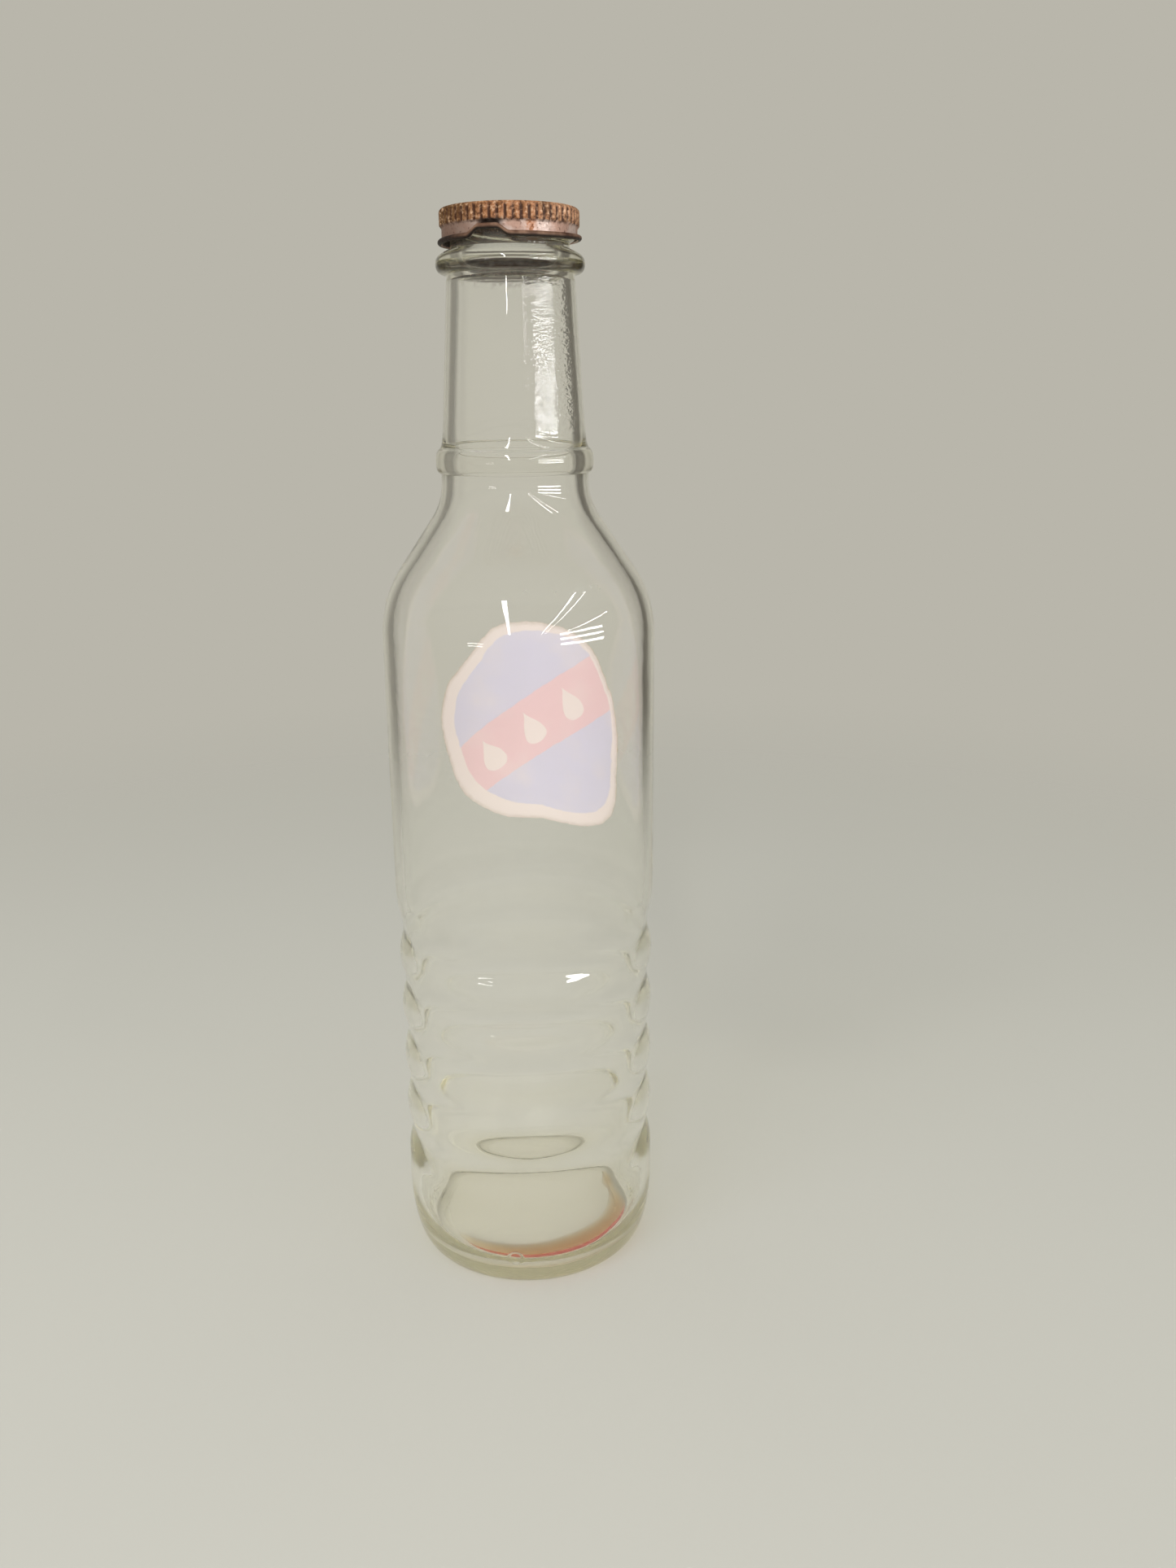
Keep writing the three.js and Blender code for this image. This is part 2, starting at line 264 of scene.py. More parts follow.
@dataclass(frozen=True)
class FlintGlass(Finish):
    """Blown flint glass, colourless face on and straw green where a wall is seen along its depth.

    Its lengths are in millimetres. A span gives where a mark starts and where it is full.
    """

    name: str = "moulded_flint_glass"
    clear: str = "#ffffff"
    grime_and_shade: str = "#3a2719"
    rust: str = "#6b3414"
    depth_tint: str = "#dad49a"
    depth_density: float = 20.0
    index: float = 1.52
    clearness: float = 0.98
    lamp_share: Colour = (0.99, 0.99, 0.985, 1.0)
    peel_size: float = 4.5
    peel_height: float = 0.016
    chill_size: float = 1.5
    chill_height: float = 0.13
    chill_stretch: Place = (1.0, 1.0, 1.8)
    chill_right: Span = (2.0, 8.0)
    chill_front: Span = (-6.0, -11.0)
    chill_foot: Span = (260.0, 264.0)
    chill_head: Span = (301.8, 300.0)
    seam_angle: float = -25.0
    seam_half: float = 0.6
    seam_height: float = 0.02
    seam_foot: Span = (225.0, 245.0)
    foot_grain: float = 1.1
    foot_top: Span = (8.0, 3.5)
    foot_edge: Span = (36.2, 37.2)
    foot_height: float = 0.16
    blister_at: Place = (-5.5, -39.2, 10.9)
    blister_edge: Span = (3.0, 1.8)
    blister_height: float = 0.16
    dust_size: float = 1.6
    dust_bounds: Span = (0.5, 0.68)
    scuff_height: float = 219.3
    scuff_line: Span = (0.7, 0.2)
    scuff_left: Span = (0.0, 2.0)
    scuff_right: Span = (28.0, 22.0)
    scuff_front: Span = (-12.0, -20.0)
    scuff_rough: float = 0.45
    veil_top: float = 9.0
    veil_share: float = 0.45
    smudge_height: float = 302.4
    smudge_edge: Span = (2.2, 0.4)
    collar_foot: Span = (303.4, 304.0)
    collar_head: Span = (306.2, 305.4)
    base_top: Span = (4.0, 3.7)
    base_edge: Span = (37.2, 36.0)
    base_rough: float = 0.35
    specks: tuple[tuple[Place, float], ...] = (((7.0, -19.5, 256.8), 0.8), ((11.3, -15.0, 279.5), 0.35))

    def relief(self, tree: Tree, at: Socket) -> Node:
        """Orange peel, chill marks, the mould's seam, a stippled foot and one blister.

        Args:
            tree: the material's tree.
            at: the place on the bottle.

        Returns:
            The bump that shades them.
        """
        x, y, z = put(tree, SPLIT, {0: at}).outputs
        peel = put(tree, NOISE, {"Vector": at, "Scale": per_mm(self.peel_size), "Detail": 2.0})
        total = put(tree, Op.MULTIPLY, {0: peel, 1: self.peel_height})
        tall = put(tree, VECTOR, {0: at, 1: self.chill_stretch}, operation="MULTIPLY")
        chill = put(tree, NOISE, {"Vector": tall, "Scale": per_mm(self.chill_size), "Detail": 1.0})
        chill = within(tree, chill, (x, *metres(*self.chill_right)), (y, *metres(*self.chill_front)),
                       (z, *metres(*self.chill_foot)), (z, *metres(*self.chill_head)))
        chill = put(tree, Op.MULTIPLY, {0: chill, 1: self.chill_height})
        turn = math.radians(self.seam_angle)
        across = put(tree, VECTOR, {0: at, 1: (math.cos(turn), math.sin(turn), 0)}, operation="DOT_PRODUCT")
        far = put(tree, VECTOR, {0: at, 1: metres(*self.blister_at)}, operation="DISTANCE")
        off = put(tree, Op.ABSOLUTE, {0: across.outputs["Value"]})
        ramps = []
        for value, span, height in ((off, (self.seam_half, 0.0), self.seam_height),
                                    (z, self.foot_top, self.foot_height),
                                    (far.outputs["Value"], self.blister_edge, self.blister_height)):
            start, full = metres(*span)
            ramps.append(put(tree, RAMP, {"Value": value, "From Min": start, "From Max": full,
                                          "To Max": height}, interpolation_type="SMOOTHSTEP"))
        seam, low, blister = ramps
        seam = within(tree, seam, (z, *metres(*self.seam_foot)))
        grain = put(tree, NOISE, {"Vector": at, "Scale": per_mm(self.foot_grain), "Detail": 1.0})
        foot = put(tree, Op.MULTIPLY, {0: grain, 1: low})
        foot = within(tree, foot, (from_axis(tree, at), *metres(*self.foot_edge)))
        for extra in (chill, seam, foot, blister):
            total = put(tree, Op.ADD, {0: total, 1: extra})
        return put(tree, BUMP, {"Strength": 1.0, "Distance": MM, "Height": total})

    def dirt(self, tree: Tree, at: Socket) -> tuple[Node, Node]:
        """Where the glass is scuffed and dusty on the shoulder and grimy under the collar, and where shade is
        painted on the collar.

        Args:
            tree: the material's tree.
            at: the place on the bottle.

        Returns:
            The haze, and the smudge together with the painted collar shade, each from 0 to 1.
        """
        x, y, z = put(tree, SPLIT, {0: at}).outputs
        dust = put(tree, NOISE, {"Vector": at, "Scale": per_mm(self.dust_size), "Detail": 4.0})
        patchy = (dust, *self.dust_bounds)
        above = put(tree, Op.SUBTRACT, {0: z, 1: self.scuff_height * MM})
        over = put(tree, Op.GREATER_THAN, {0: above, 1: 0.0})
        veil = put(tree, RAMP, {"Value": above, "From Min": self.veil_top * MM, "From Max": 0.0,
                                "To Max": self.veil_share})
        veil = put(tree, Op.MULTIPLY, {0: veil, 1: over})
        start, full = metres(*self.scuff_line)
        line = put(tree, RAMP, {"Value": away(tree, above, 0.0), "From Min": start, "From Max": full})
        haze = put(tree, Op.MAXIMUM, {0: line, 1: veil})
        haze = within(tree, haze, patchy, (x, *metres(*self.scuff_left)), (x, *metres(*self.scuff_right)),
                      (y, *metres(*self.scuff_front)))
        start, full = metres(*self.smudge_edge)
        smudge_and_shade = put(tree, RAMP, {"Value": away(tree, z, self.smudge_height * MM), "From Min": start,
                                  "From Max": full, "To Max": 0.5})
        smudge_and_shade = within(tree, smudge_and_shade, patchy)
        # Painted shade: a near-solid dark brown band over the lower collar.
        collar_shade = put(tree, RAMP, {"Value": dust, "From Min": 0.35, "From Max": 0.6, "To Min": 0.8})
        collar_shade = within(tree, collar_shade, (z, *metres(*self.collar_foot)), (z, *metres(*self.collar_head)))
        return haze, put(tree, Op.MAXIMUM, {0: smudge_and_shade, 1: collar_shade})

    def draw(self, tree: Tree) -> dict[str, Node]:
        """Glass that lamps shine through, with its tint in its depth, and its dirt and a painted collar shade
        on its face.

        Args:
            tree: the material's tree.

        Returns:
            The surface and the depth.
        """
        at = put(tree, PLACE).outputs["Object"]
        haze, smudge_and_shade = self.dirt(tree, at)
        # The grime colour lays both the smudge and the painted collar shade.
        colour = stain(tree, linear(self.clear), (smudge_and_shade, 0.0, 1.0, 1.0, self.grime_and_shade))
        for spot, size in self.specks:
            far = put(tree, VECTOR, {0: at, 1: metres(*spot)}, operation="DISTANCE")
            colour = stain(tree, colour, (far.outputs["Value"], *metres(size, 0.6 * size), 1.0, self.rust))
        rough = put(tree, RAMP, {"Value": haze, "To Min": 0.0, "To Max": self.scuff_rough})
        z = put(tree, SPLIT, {0: at}).outputs["Z"]
        under = within(tree, self.base_rough, (z, *metres(*self.base_top)),
                       (from_axis(tree, at), *metres(*self.base_edge)))
        rough = put(tree, Op.MAXIMUM, {0: rough, 1: under})
        glass = put(tree, SURFACE, {
            "Base Color": colour, "Roughness": rough, "IOR": self.index,
            "Transmission Weight": self.clearness, "Normal": self.relief(tree, at)})
        # Lamps shine straight through, so the glass keeps no dark shadow and the label stays lit.
        passing = put(tree, "ShaderNodeBsdfTransparent", {"Color": self.lamp_share})
        ray = put(tree, "ShaderNodeLightPath").outputs["Is Shadow Ray"]
        depth = put(tree, "ShaderNodeVolumeAbsorption", {"Color": linear(self.depth_tint),
                                                         "Density": self.depth_density})
        return {"Surface": put(tree, "ShaderNodeMixShader", {0: ray, 1: glass, 2: passing}), "Volume": depth}


@dataclass(frozen=True)
class RedOil(Finish):
    """Old dyed machine oil, clear orange in a thin film and red where it lies deeper."""

    name: str = "dyed_oil"
    clear: str = "#ffffff"
    depth_tint: str = "#fdd000"
    depth_density: float = 1000.0
    index: float = 1.47
    ripple_size: float = 7.0

    def draw(self, tree: Tree) -> dict[str, Node]:
        """A clear liquid whose colour is in its depth, with a faint ripple on it.

        Args:
            tree: the material's tree.

        Returns:
            The surface and the depth.
        """
        at = put(tree, PLACE).outputs["Object"]
        cloud = put(tree, NOISE, {"Vector": at, "Scale": per_mm(self.ripple_size), "Detail": 2.0})
        ripple = put(tree, BUMP, {"Strength": 0.2, "Distance": 0.2 * MM, "Height": cloud})
        collar_shade = put(tree, RAMP, {"Value": cloud, "To Min": 0.02, "To Max": 0.12})
        oil = put(tree, SURFACE, {
            "Base Color": linear(self.clear), "Roughness": collar_shade, "IOR": self.index,
            "Transmission Weight": 1.0, "Normal": ripple})
        depth = put(tree, "ShaderNodeVolumeAbsorption", {"Color": linear(self.depth_tint),
                                                         "Density": self.depth_density})
        return {"Surface": oil, "Volume": depth}


@dataclass(frozen=True)
class PrintedPaper(Finish):
    """Coated label paper with a plain two-colour print, faded and handled at its cut edge.

    Its fibre is drawn coarser than a real one, so that it shows.
    """

    name: str
    paper: str
    ground: str
    sash: str
    drop: str
    soil: str
    fibre_size: float = 0.9
    fade_size: float = 16.0
    sash_turn: float = 32.0
    sash_half: float = 9.5
    sash_blur: float = 0.3
    drop_size: float = 6.0
    drop_pitch: float = 17.0
    drop_width: float = 0.28
    border_lean: Place = (0.0016, 0.0011, 0.0)
    border: Span = (0.88, 0.868)
    handled: float = 0.955

    def drops(self, tree: Tree, x: Socket, y: Socket, colour: Node) -> Node:
        """Lays three oil drops in a row along the sash, each a pear-shaped curve.

        Args:
            tree: the material's tree.
            x: the place along the sash, in millimetres.
            y: the place across it.
            colour: the print under them.

        Returns:
            The print with its drops.
        """
        rise = put(tree, Op.MULTIPLY, {0: y, 1: 1.0 / self.drop_size})
        head = put(tree, Op.SUBTRACT, {0: 1.0, 1: rise})
        head = put(tree, Op.MAXIMUM, {0: head, 1: 0.0})
        head = put(tree, Op.POWER, {0: head, 1: 3.0})
        foot = put(tree, Op.ADD, {0: rise, 1: 1.0})
        reach = put(tree, Op.MULTIPLY, {0: head, 1: foot})
        reach = put(tree, Op.MULTIPLY, {0: reach, 1: self.drop_width})
        for step in (-1, 0, 1):
            side = put(tree, Op.SUBTRACT, {0: x, 1: self.drop_pitch * step})
            side = put(tree, Op.MULTIPLY, {0: side, 1: 1.0 / self.drop_size})
            wide = put(tree, Op.POWER, {0: side, 1: 2.0})
            inside = put(tree, Op.LESS_THAN, {0: wide, 1: reach})
            colour = put(tree, MIX, {"Factor": inside, "A": colour, "B": linear(self.drop)}, data_type="RGBA")
        return colour

    def draw(self, tree: Tree) -> dict[str, Node]:
        """A coloured ground inside a bare border, one slanted sash, and the oil drops on it.

        Args:
            tree: the material's tree.

        Returns:
            The surface.
        """
        flat = put(tree, "ShaderNodeUVMap", uv_map="sheet")
        rim = put(tree, "ShaderNodeAttribute", attribute_name="rim").outputs["Fac"]
        fibre = put(tree, NOISE, {"Vector": flat, "Scale": SHEET_SPAN / self.fibre_size, "Detail": 5.0})
        cloud = put(tree, NOISE, {"Vector": flat, "Scale": SHEET_SPAN / self.fade_size, "Detail": 3.0})
        at = put(tree, VECTOR, {0: flat, 1: (0.5, 0.5, 0.0)}, operation="SUBTRACT")
        at = put(tree, VECTOR, {0: at, 1: (SHEET_SPAN, SHEET_SPAN, 0.0)}, operation="MULTIPLY")
        turned = put(tree, "ShaderNodeVectorRotate", {"Vector": at, "Angle": math.radians(-self.sash_turn)},
                     rotation_type="Z_AXIS")
        x, y, _ = put(tree, SPLIT, {0: turned}).outputs
        lean = put(tree, VECTOR, {0: at, 1: self.border_lean}, operation="DOT_PRODUCT")
        inner = put(tree, Op.SUBTRACT, {0: rim, 1: lean.outputs["Value"]})
        start, full = self.border
        inside = put(tree, RAMP, {"Value": inner, "From Min": start, "From Max": full})
        colour = stain(tree, linear(self.ground), (away(tree, y, 0.0), self.sash_half + self.sash_blur,
                                                   self.sash_half, 1.0, self.sash))
        colour = self.drops(tree, x, y, colour)
        colour = put(tree, MIX, {"Factor": inside, "A": linear(self.paper), "B": colour}, data_type="RGBA")
        colour = stain(tree, colour, (cloud, 0.5, 0.75, 0.4, self.paper))
        edge = within(tree, fibre, (rim, self.handled, 1.0))
        colour = put(tree, MIX, {"Factor": edge, "A": colour, "B": linear(self.soil)}, data_type="RGBA")
        rough = put(tree, RAMP, {"Value": fibre, "To Min": 0.55, "To Max": 0.8})
        nap = put(tree, BUMP, {"Strength": 0.4, "Distance": 0.05 * MM, "Height": fibre})
        return {"Surface": put(tree, SURFACE, {"Base Color": colour, "Roughness": rough, "Normal": nap})}


@dataclass(frozen=True)
class PressedCork(Finish):
    """Pressed cork, warm tan grains with dark seams between them."""

    name: str = "pressed_cork"
    grain: str = "#b98a58"
    pale: str = "#d2ac7c"
    seam: str = "#5f3f24"
    grain_size: float = 1.5

    def draw(self, tree: Tree) -> dict[str, Node]:
        """Grains in two tans, seamed with dark dust.

        Args:
            tree: the material's tree.

        Returns:
            The surface.
        """
        cells = {"Vector": put(tree, PLACE).outputs["Object"], "Scale": per_mm(self.grain_size)}
        grains = put(tree, "ShaderNodeTexVoronoi", cells)
        seams = put(tree, "ShaderNodeTexVoronoi", cells, feature="DISTANCE_TO_EDGE")
        tone = put(tree, "ShaderNodeSeparateColor", {0: grains.outputs["Color"]})
        colour = stain(tree, linear(self.grain), (tone, 0.0, 1.0, 1.0, self.pale),
                       (seams, 0.09, 0.02, 0.8, self.seam))
        rough = put(tree, RAMP, {"Value": tone, "To Min": 0.75, "To Max": 0.92})
        pits = put(tree, BUMP, {"Strength": 0.6, "Distance": 0.15 * MM, "Height": seams})
        return {"Surface": put(tree, SURFACE, {"Base Color": colour, "Roughness": rough, "Normal": pits})}


@dataclass(frozen=True)
class WaxedPaper(Finish):
    """Waxed kraft paper, soaked brown with old oil and darkest where the mouth pressed its ring."""

    name: str = "waxed_kraft_paper"
    sheet: str = "#5d4029"
    oiled: str = "#2e1d12"
    fibre_size: float = 1.1
    mouth_ring: float = 15.0
    ring_edge: Span = (2.2, 0.6)

    def draw(self, tree: Tree) -> dict[str, Node]:
        """A brown sheet with a darker oily ring under the mouth.

        Args:
            tree: the material's tree.

        Returns:
            The surface.
        """
        at = put(tree, PLACE).outputs["Object"]
        off = away(tree, from_axis(tree, at), self.mouth_ring * MM)
        start, full = metres(*self.ring_edge)
        ring = put(tree, RAMP, {"Value": off, "From Min": start, "From Max": full, "To Max": 0.8})
        fibre = put(tree, NOISE, {"Vector": at, "Scale": per_mm(self.fibre_size), "Detail": 4.0})
        oily = put(tree, Op.MULTIPLY, {0: fibre, 1: 0.35})
        oily = put(tree, Op.MAXIMUM, {0: oily, 1: ring})
        colour = stain(tree, linear(self.sheet), (oily, 0.0, 1.0, 1.0, self.oiled))
        rough = put(tree, RAMP, {"Value": oily, "To Min": 0.5, "To Max": 0.28})
        nap = put(tree, BUMP, {"Strength": 0.3, "Distance": 0.05 * MM, "Height": fibre})
        return {"Surface": put(tree, SURFACE, {"Base Color": colour, "Roughness": rough, "Normal": nap})}


@dataclass(frozen=True)
class RustedTinplate(Finish):
    """Rolled tinplate: pink-white tin on the plain band, speckled rust on the knurls, a dark rim.

    Its lengths are in millimetres. A span gives where a mark starts and where it is full.
    """

    name: str = "rolled_tinplate"
    copper: str = "#a96d42"
    peach_rust_and_light: str = "#cd9a75"
    olive_rust_and_shade: str = "#62441f"
    flute: str = "#452411"
    brown: str = "#472412"
    glint: str = "#dab392"
    dark: str = "#24150e"
    tin: str = "#bb9889"
    white_tin: str = "#d0bab1"
    shade_tin: str = "#8b6f62"
    orange: str = "#bd7846"
    lip: str = "#8a6a56"
    speckle_size: float = 0.8
    mottle_size: float = 5.0
    painted_light_side: Span = (0.0, 14.0)
    painted_shade_side: Span = (-4.0, -16.0)
    shade_side: Span = (-5.0, -15.0)
    rim_shade_side: Span = (-10.0, -17.0)
    flute_wall: Span = (19.34, 19.05)
    flute_top: Span = (320.1, 319.2)
    run_at: float = 5.6
    run_edge: Span = (2.2, 0.4)
    ragged_edge: float = 0.7
    rust_foot: Span = (315.27, 315.97)
    pry_patch_angle: float = -16.0
    pry_patch_edge: Span = (13.0, 6.0)
    pry_patch_head: Span = (316.47, 315.67)
    pry_patch_foot: Span = (314.17, 314.87)
    roll_wall: Span = (19.02, 19.2)
    roll_head: float = 314.92
    inner_wall: Span = (18.72, 18.66)
    inner_head: float = 320.05

    def knurls(self, tree: Tree, at: Socket, fine: Node, patch: Node) -> Node:
        """Copper rust on the ridges, with peach as painted light on the right and olive as painted shade on
        the left, random patches of both, and brown flutes.

        Args:
            tree: the material's tree.
            at: the place on the cap.
            fine: the fine speckle.
            patch: the slow mottle.

        Returns:
            The colour.
        """
        x, _, z = put(tree, SPLIT, {0: at}).outputs
        mottle = put(tree, RAMP, {"Value": patch, "From Min": 0.42, "From Max": 0.6, "To Max": 0.5})
        # Painted light: peach laid over the right side, plus random peach patches. Painted shade: olive over
        # the left side, plus random olive patches.
        start, full = metres(*self.painted_light_side)
        side = put(tree, RAMP, {"Value": x, "From Min": start, "From Max": full, "To Max": 0.75})
        side = put(tree, Op.MAXIMUM, {0: side, 1: mottle})
        rust = stain(tree, linear(self.copper), (side, 0.0, 1.0, 1.0, self.peach_rust_and_light),
                     (x, *metres(*self.painted_shade_side), 0.9, self.olive_rust_and_shade), (patch, 0.5, 0.36, 0.65, self.olive_rust_and_shade),
                     (fine, 0.46, 0.34, 0.75, self.glint), (fine, 0.52, 0.64, 0.75, self.brown))
        broken = put(tree, RAMP, {"Value": fine, "From Min": 0.33, "From Max": 0.5, "To Min": 0.35})
        deep = within(tree, broken, (from_axis(tree, at), *metres(*self.flute_wall)),
                      (z, *metres(*self.flute_top)))
        return put(tree, MIX, {"Factor": deep, "A": rust, "B": linear(self.flute)}, data_type="RGBA")

    def band(self, tree: Tree, at: Socket, fine: Node, patch: Node) -> Node:
        """Pink-white tin with painted shade on the left, one rust run right of the front and a few freckles.

        Args:
            tree: the material's tree.
            at: the place on the cap.
            fine: the fine speckle.
            patch: the slow mottle.

        Returns:
            The colour.
        """
        x = put(tree, SPLIT, {0: at}).outputs["X"]
        # Painted shade: the tin darkens towards the left.
        band = stain(tree, linear(self.tin), (patch, 0.44, 0.58, 1.0, self.white_tin),
                     (x, *metres(*self.shade_side), 0.9, self.shade_tin))
        start, full = metres(*self.run_edge)
        run = put(tree, RAMP, {"Value": away(tree, x, self.run_at * MM), "From Min": start, "From Max": full,
                               "To Max": 0.75}, interpolation_type="SMOOTHSTEP")
        run = within(tree, run, (fine, 0.36, 0.6))
        return stain(tree, band, (run, 0.0, 1.0, 1.0, self.orange), (fine, 0.6, 0.7, 0.6, self.brown))

    def rim(self, tree: Tree, at: Socket, patch: Node) -> Node:
        """Brown on the rolled rim, worn to bare lip in places, with painted shade on the left and on faces
        turned down.

        Args:
            tree: the material's tree.
            at: the place on the cap.
            patch: the slow mottle.

        Returns:
            The colour.
        """
        x = put(tree, SPLIT, {0: at}).outputs["X"]
        up = put(tree, SPLIT, {0: put(tree, "ShaderNodeNewGeometry").outputs["Normal"]}).outputs["Z"]
        # Painted shade: dark on the left of the rim and on every face turned downwards.
        return stain(tree, linear(self.brown), (patch, 0.4, 0.62, 1.0, self.lip),
                     (x, *metres(*self.rim_shade_side), 1.0, self.dark), (up, 0.1, -0.55, 1.0, self.dark))

    def draw(self, tree: Tree) -> dict[str, Node]:
        """Rust on the knurls, a pale plain band, a dark patch over the prised place and a dark rolled rim,
        with painted light on the right and painted shade on the left and underneath.

        Args:
            tree: the material's tree.

        Returns:
            The surface.
        """
        at = put(tree, PLACE).outputs["Object"]
        x, y, z = put(tree, SPLIT, {0: at}).outputs
        far = from_axis(tree, at)
        fine = put(tree, NOISE, {"Vector": at, "Scale": per_mm(self.speckle_size), "Detail": 5.0})
        patch = put(tree, NOISE, {"Vector": at, "Scale": per_mm(self.mottle_size), "Detail": 4.0})
        ragged = self.ragged_edge * MM
        wobble = put(tree, RAMP, {"Value": fine, "To Min": -ragged, "To Max": ragged})
        level = put(tree, Op.ADD, {0: z, 1: wobble})
        start, full = metres(*self.rust_foot)
        upper = put(tree, RAMP, {"Value": level, "From Min": start, "From Max": full})
        colour = put(tree, MIX, {"Factor": upper, "A": self.band(tree, at, fine, patch),
                                 "B": self.knurls(tree, at, fine, patch)}, data_type="RGBA")

        # A dark patch laid just above the prised rim.
        front = put(tree, Op.MULTIPLY, {0: y, 1: -1.0})
        around = put(tree, Op.ARCTAN2, {0: x, 1: front})
        aside = away(tree, around, math.radians(self.pry_patch_angle))
        start, full = (math.radians(edge) for edge in self.pry_patch_edge)
        pry_patch = put(tree, RAMP, {"Value": aside, "From Min": start, "From Max": full},
                    interpolation_type="SMOOTHSTEP")
        pry_patch = within(tree, pry_patch, (level, *metres(*self.pry_patch_head)), (level, *metres(*self.pry_patch_foot)))
        colour = put(tree, MIX, {"Factor": pry_patch, "A": colour, "B": linear(self.dark)}, data_type="RGBA")

        lower = put(tree, Op.LESS_THAN, {0: z, 1: self.roll_head * MM})
        lower = within(tree, lower, (far, *metres(*self.roll_wall)))
        inner = put(tree, Op.LESS_THAN, {0: z, 1: self.inner_head * MM})
        inner = within(tree, inner, (far, *metres(*self.inner_wall)))
        lower = put(tree, Op.MAXIMUM, {0: lower, 1: inner})
        colour = put(tree, MIX, {"Factor": lower, "A": colour, "B": self.rim(tree, at, patch)},
                     data_type="RGBA")

        tarnish = put(tree, Op.MAXIMUM, {0: upper, 1: lower})
        metal = put(tree, RAMP, {"Value": tarnish, "To Min": 0.55, "To Max": 0.25})
        rough = put(tree, RAMP, {"Value": fine, "From Min": 0.3, "From Max": 0.7, "To Min": 0.42,
                                 "To Max": 0.72})
        grit = put(tree, BUMP, {"Strength": 0.8, "Distance": 0.15 * MM, "Height": fine})
        return {"Surface": put(tree, SURFACE, {"Base Color": colour, "Roughness": rough, "Metallic": metal,
                                               "Normal": grit})}


@dataclass(frozen=True)
class PaleFloor(Finish):
    """Matt pale paper sweep that fades into the backdrop."""

    name: str = "pale_floor"
    colour: str = "#c9c7bf"
    solid: float = 0.3
    gone: float = 0.85

    def draw(self, tree: Tree) -> dict[str, Node]:
        """A matt sheet, solid near the object and clear at its rim.

        Args:
            tree: the material's tree.

        Returns:
            The surface.
        """
        at = put(tree, PLACE).outputs["Object"]
        far = put(tree, VECTOR, {0: at}, operation="LENGTH").outputs["Value"]
        fade = put(tree, RAMP, {"Value": far, "From Min": self.solid, "From Max": self.gone},
                   interpolation_type="SMOOTHSTEP")
        sheet = put(tree, "ShaderNodeBsdfDiffuse", {"Color": linear(self.colour)})
        clear = put(tree, "ShaderNodeBsdfTransparent")
        return {"Surface": put(tree, "ShaderNodeMixShader", {0: fade, 1: sheet, 2: clear})}


@dataclass
class Section:
    """A line in the half plane beside the axis, in millimetres, with the relief weights of each point."""

    points: list[Point] = field(default_factory=list)
    weights: dict[str, list[float]] = field(default_factory=dict)

    def add(self, radius: float, height: float, **weights: float) -> None:
        """Adds one point.

        Args:
            radius: distance from the axis.
            height: height above the floor.
            weights: how much of each relief the point takes.
        """
        self.points.append((radius, height))
        for name, store in self.weights.items():
            store.append(weights.get(name, 0.0))

    def curve(self, *controls: Point, step: float = 1.0, **weights: float) -> None:
        """Runs a Bezier curve of any degree on from the last point.

        Args:
            controls: the control points, the last of which is the end.
            step: about how long one piece of it is.
            weights: how much of each relief it takes.
        """
        hull = [self.points[-1], *controls]
        length = sum(math.dist(a, b) for a, b in zip(hull, hull[1:]))
        count = max(1, round(length / step))
        for index in range(1, count + 1):
            t = index / count
            row = hull
            while len(row) > 1:
                row = [(a[0] + (b[0] - a[0]) * t, a[1] + (b[1] - a[1]) * t) for a, b in zip(row, row[1:])]
            self.add(*row[0], **weights)

    def ease(self, end: Point, step: float = 0.9, **weights: float) -> None:
        """Runs half a wave on from the last point.

        Args:
            end: where the half wave ends.
            step: about how long one piece of it is.
            weights: how much of each relief it takes.
        """
        (radius, height), count = self.points[-1], max(2, round(abs(end[1] - self.points[-1][1]) / step))
        for index in range(1, count + 1):
            share = index / count
            swing = (1 - math.cos(math.pi * share)) / 2
            self.add(radius + (end[0] - radius) * swing, height + (end[1] - height) * share, **weights)

    def arc(self, centre: Point, radius: float, start: float, end: float, step: float = 1.0,
            **weights: float) -> None:
        """Adds an arc, first point included.

        Args:
            centre: its centre.
            radius: its radius.
            start: the angle it starts at, in degrees from straight outwards.
            end: the angle it ends at.
            step: about how long one piece of it is.
            weights: how much of each relief it takes.
        """
        count = max(2, round(radius * math.radians(abs(end - start)) / step))
        for index in range(count + 1):
            angle = math.radians(start + (end - start) * index / count)
            self.add(centre[0] + radius * math.cos(angle), centre[1] + radius * math.sin(angle), **weights)


@dataclass
class Spot:
    """The sockets that a relief works with at one point of a turned piece."""

    radius: Socket
    height: Socket
    angle: Node
    place: Node
    weights: dict[str, Node]
    sizes: dict[str, Socket]


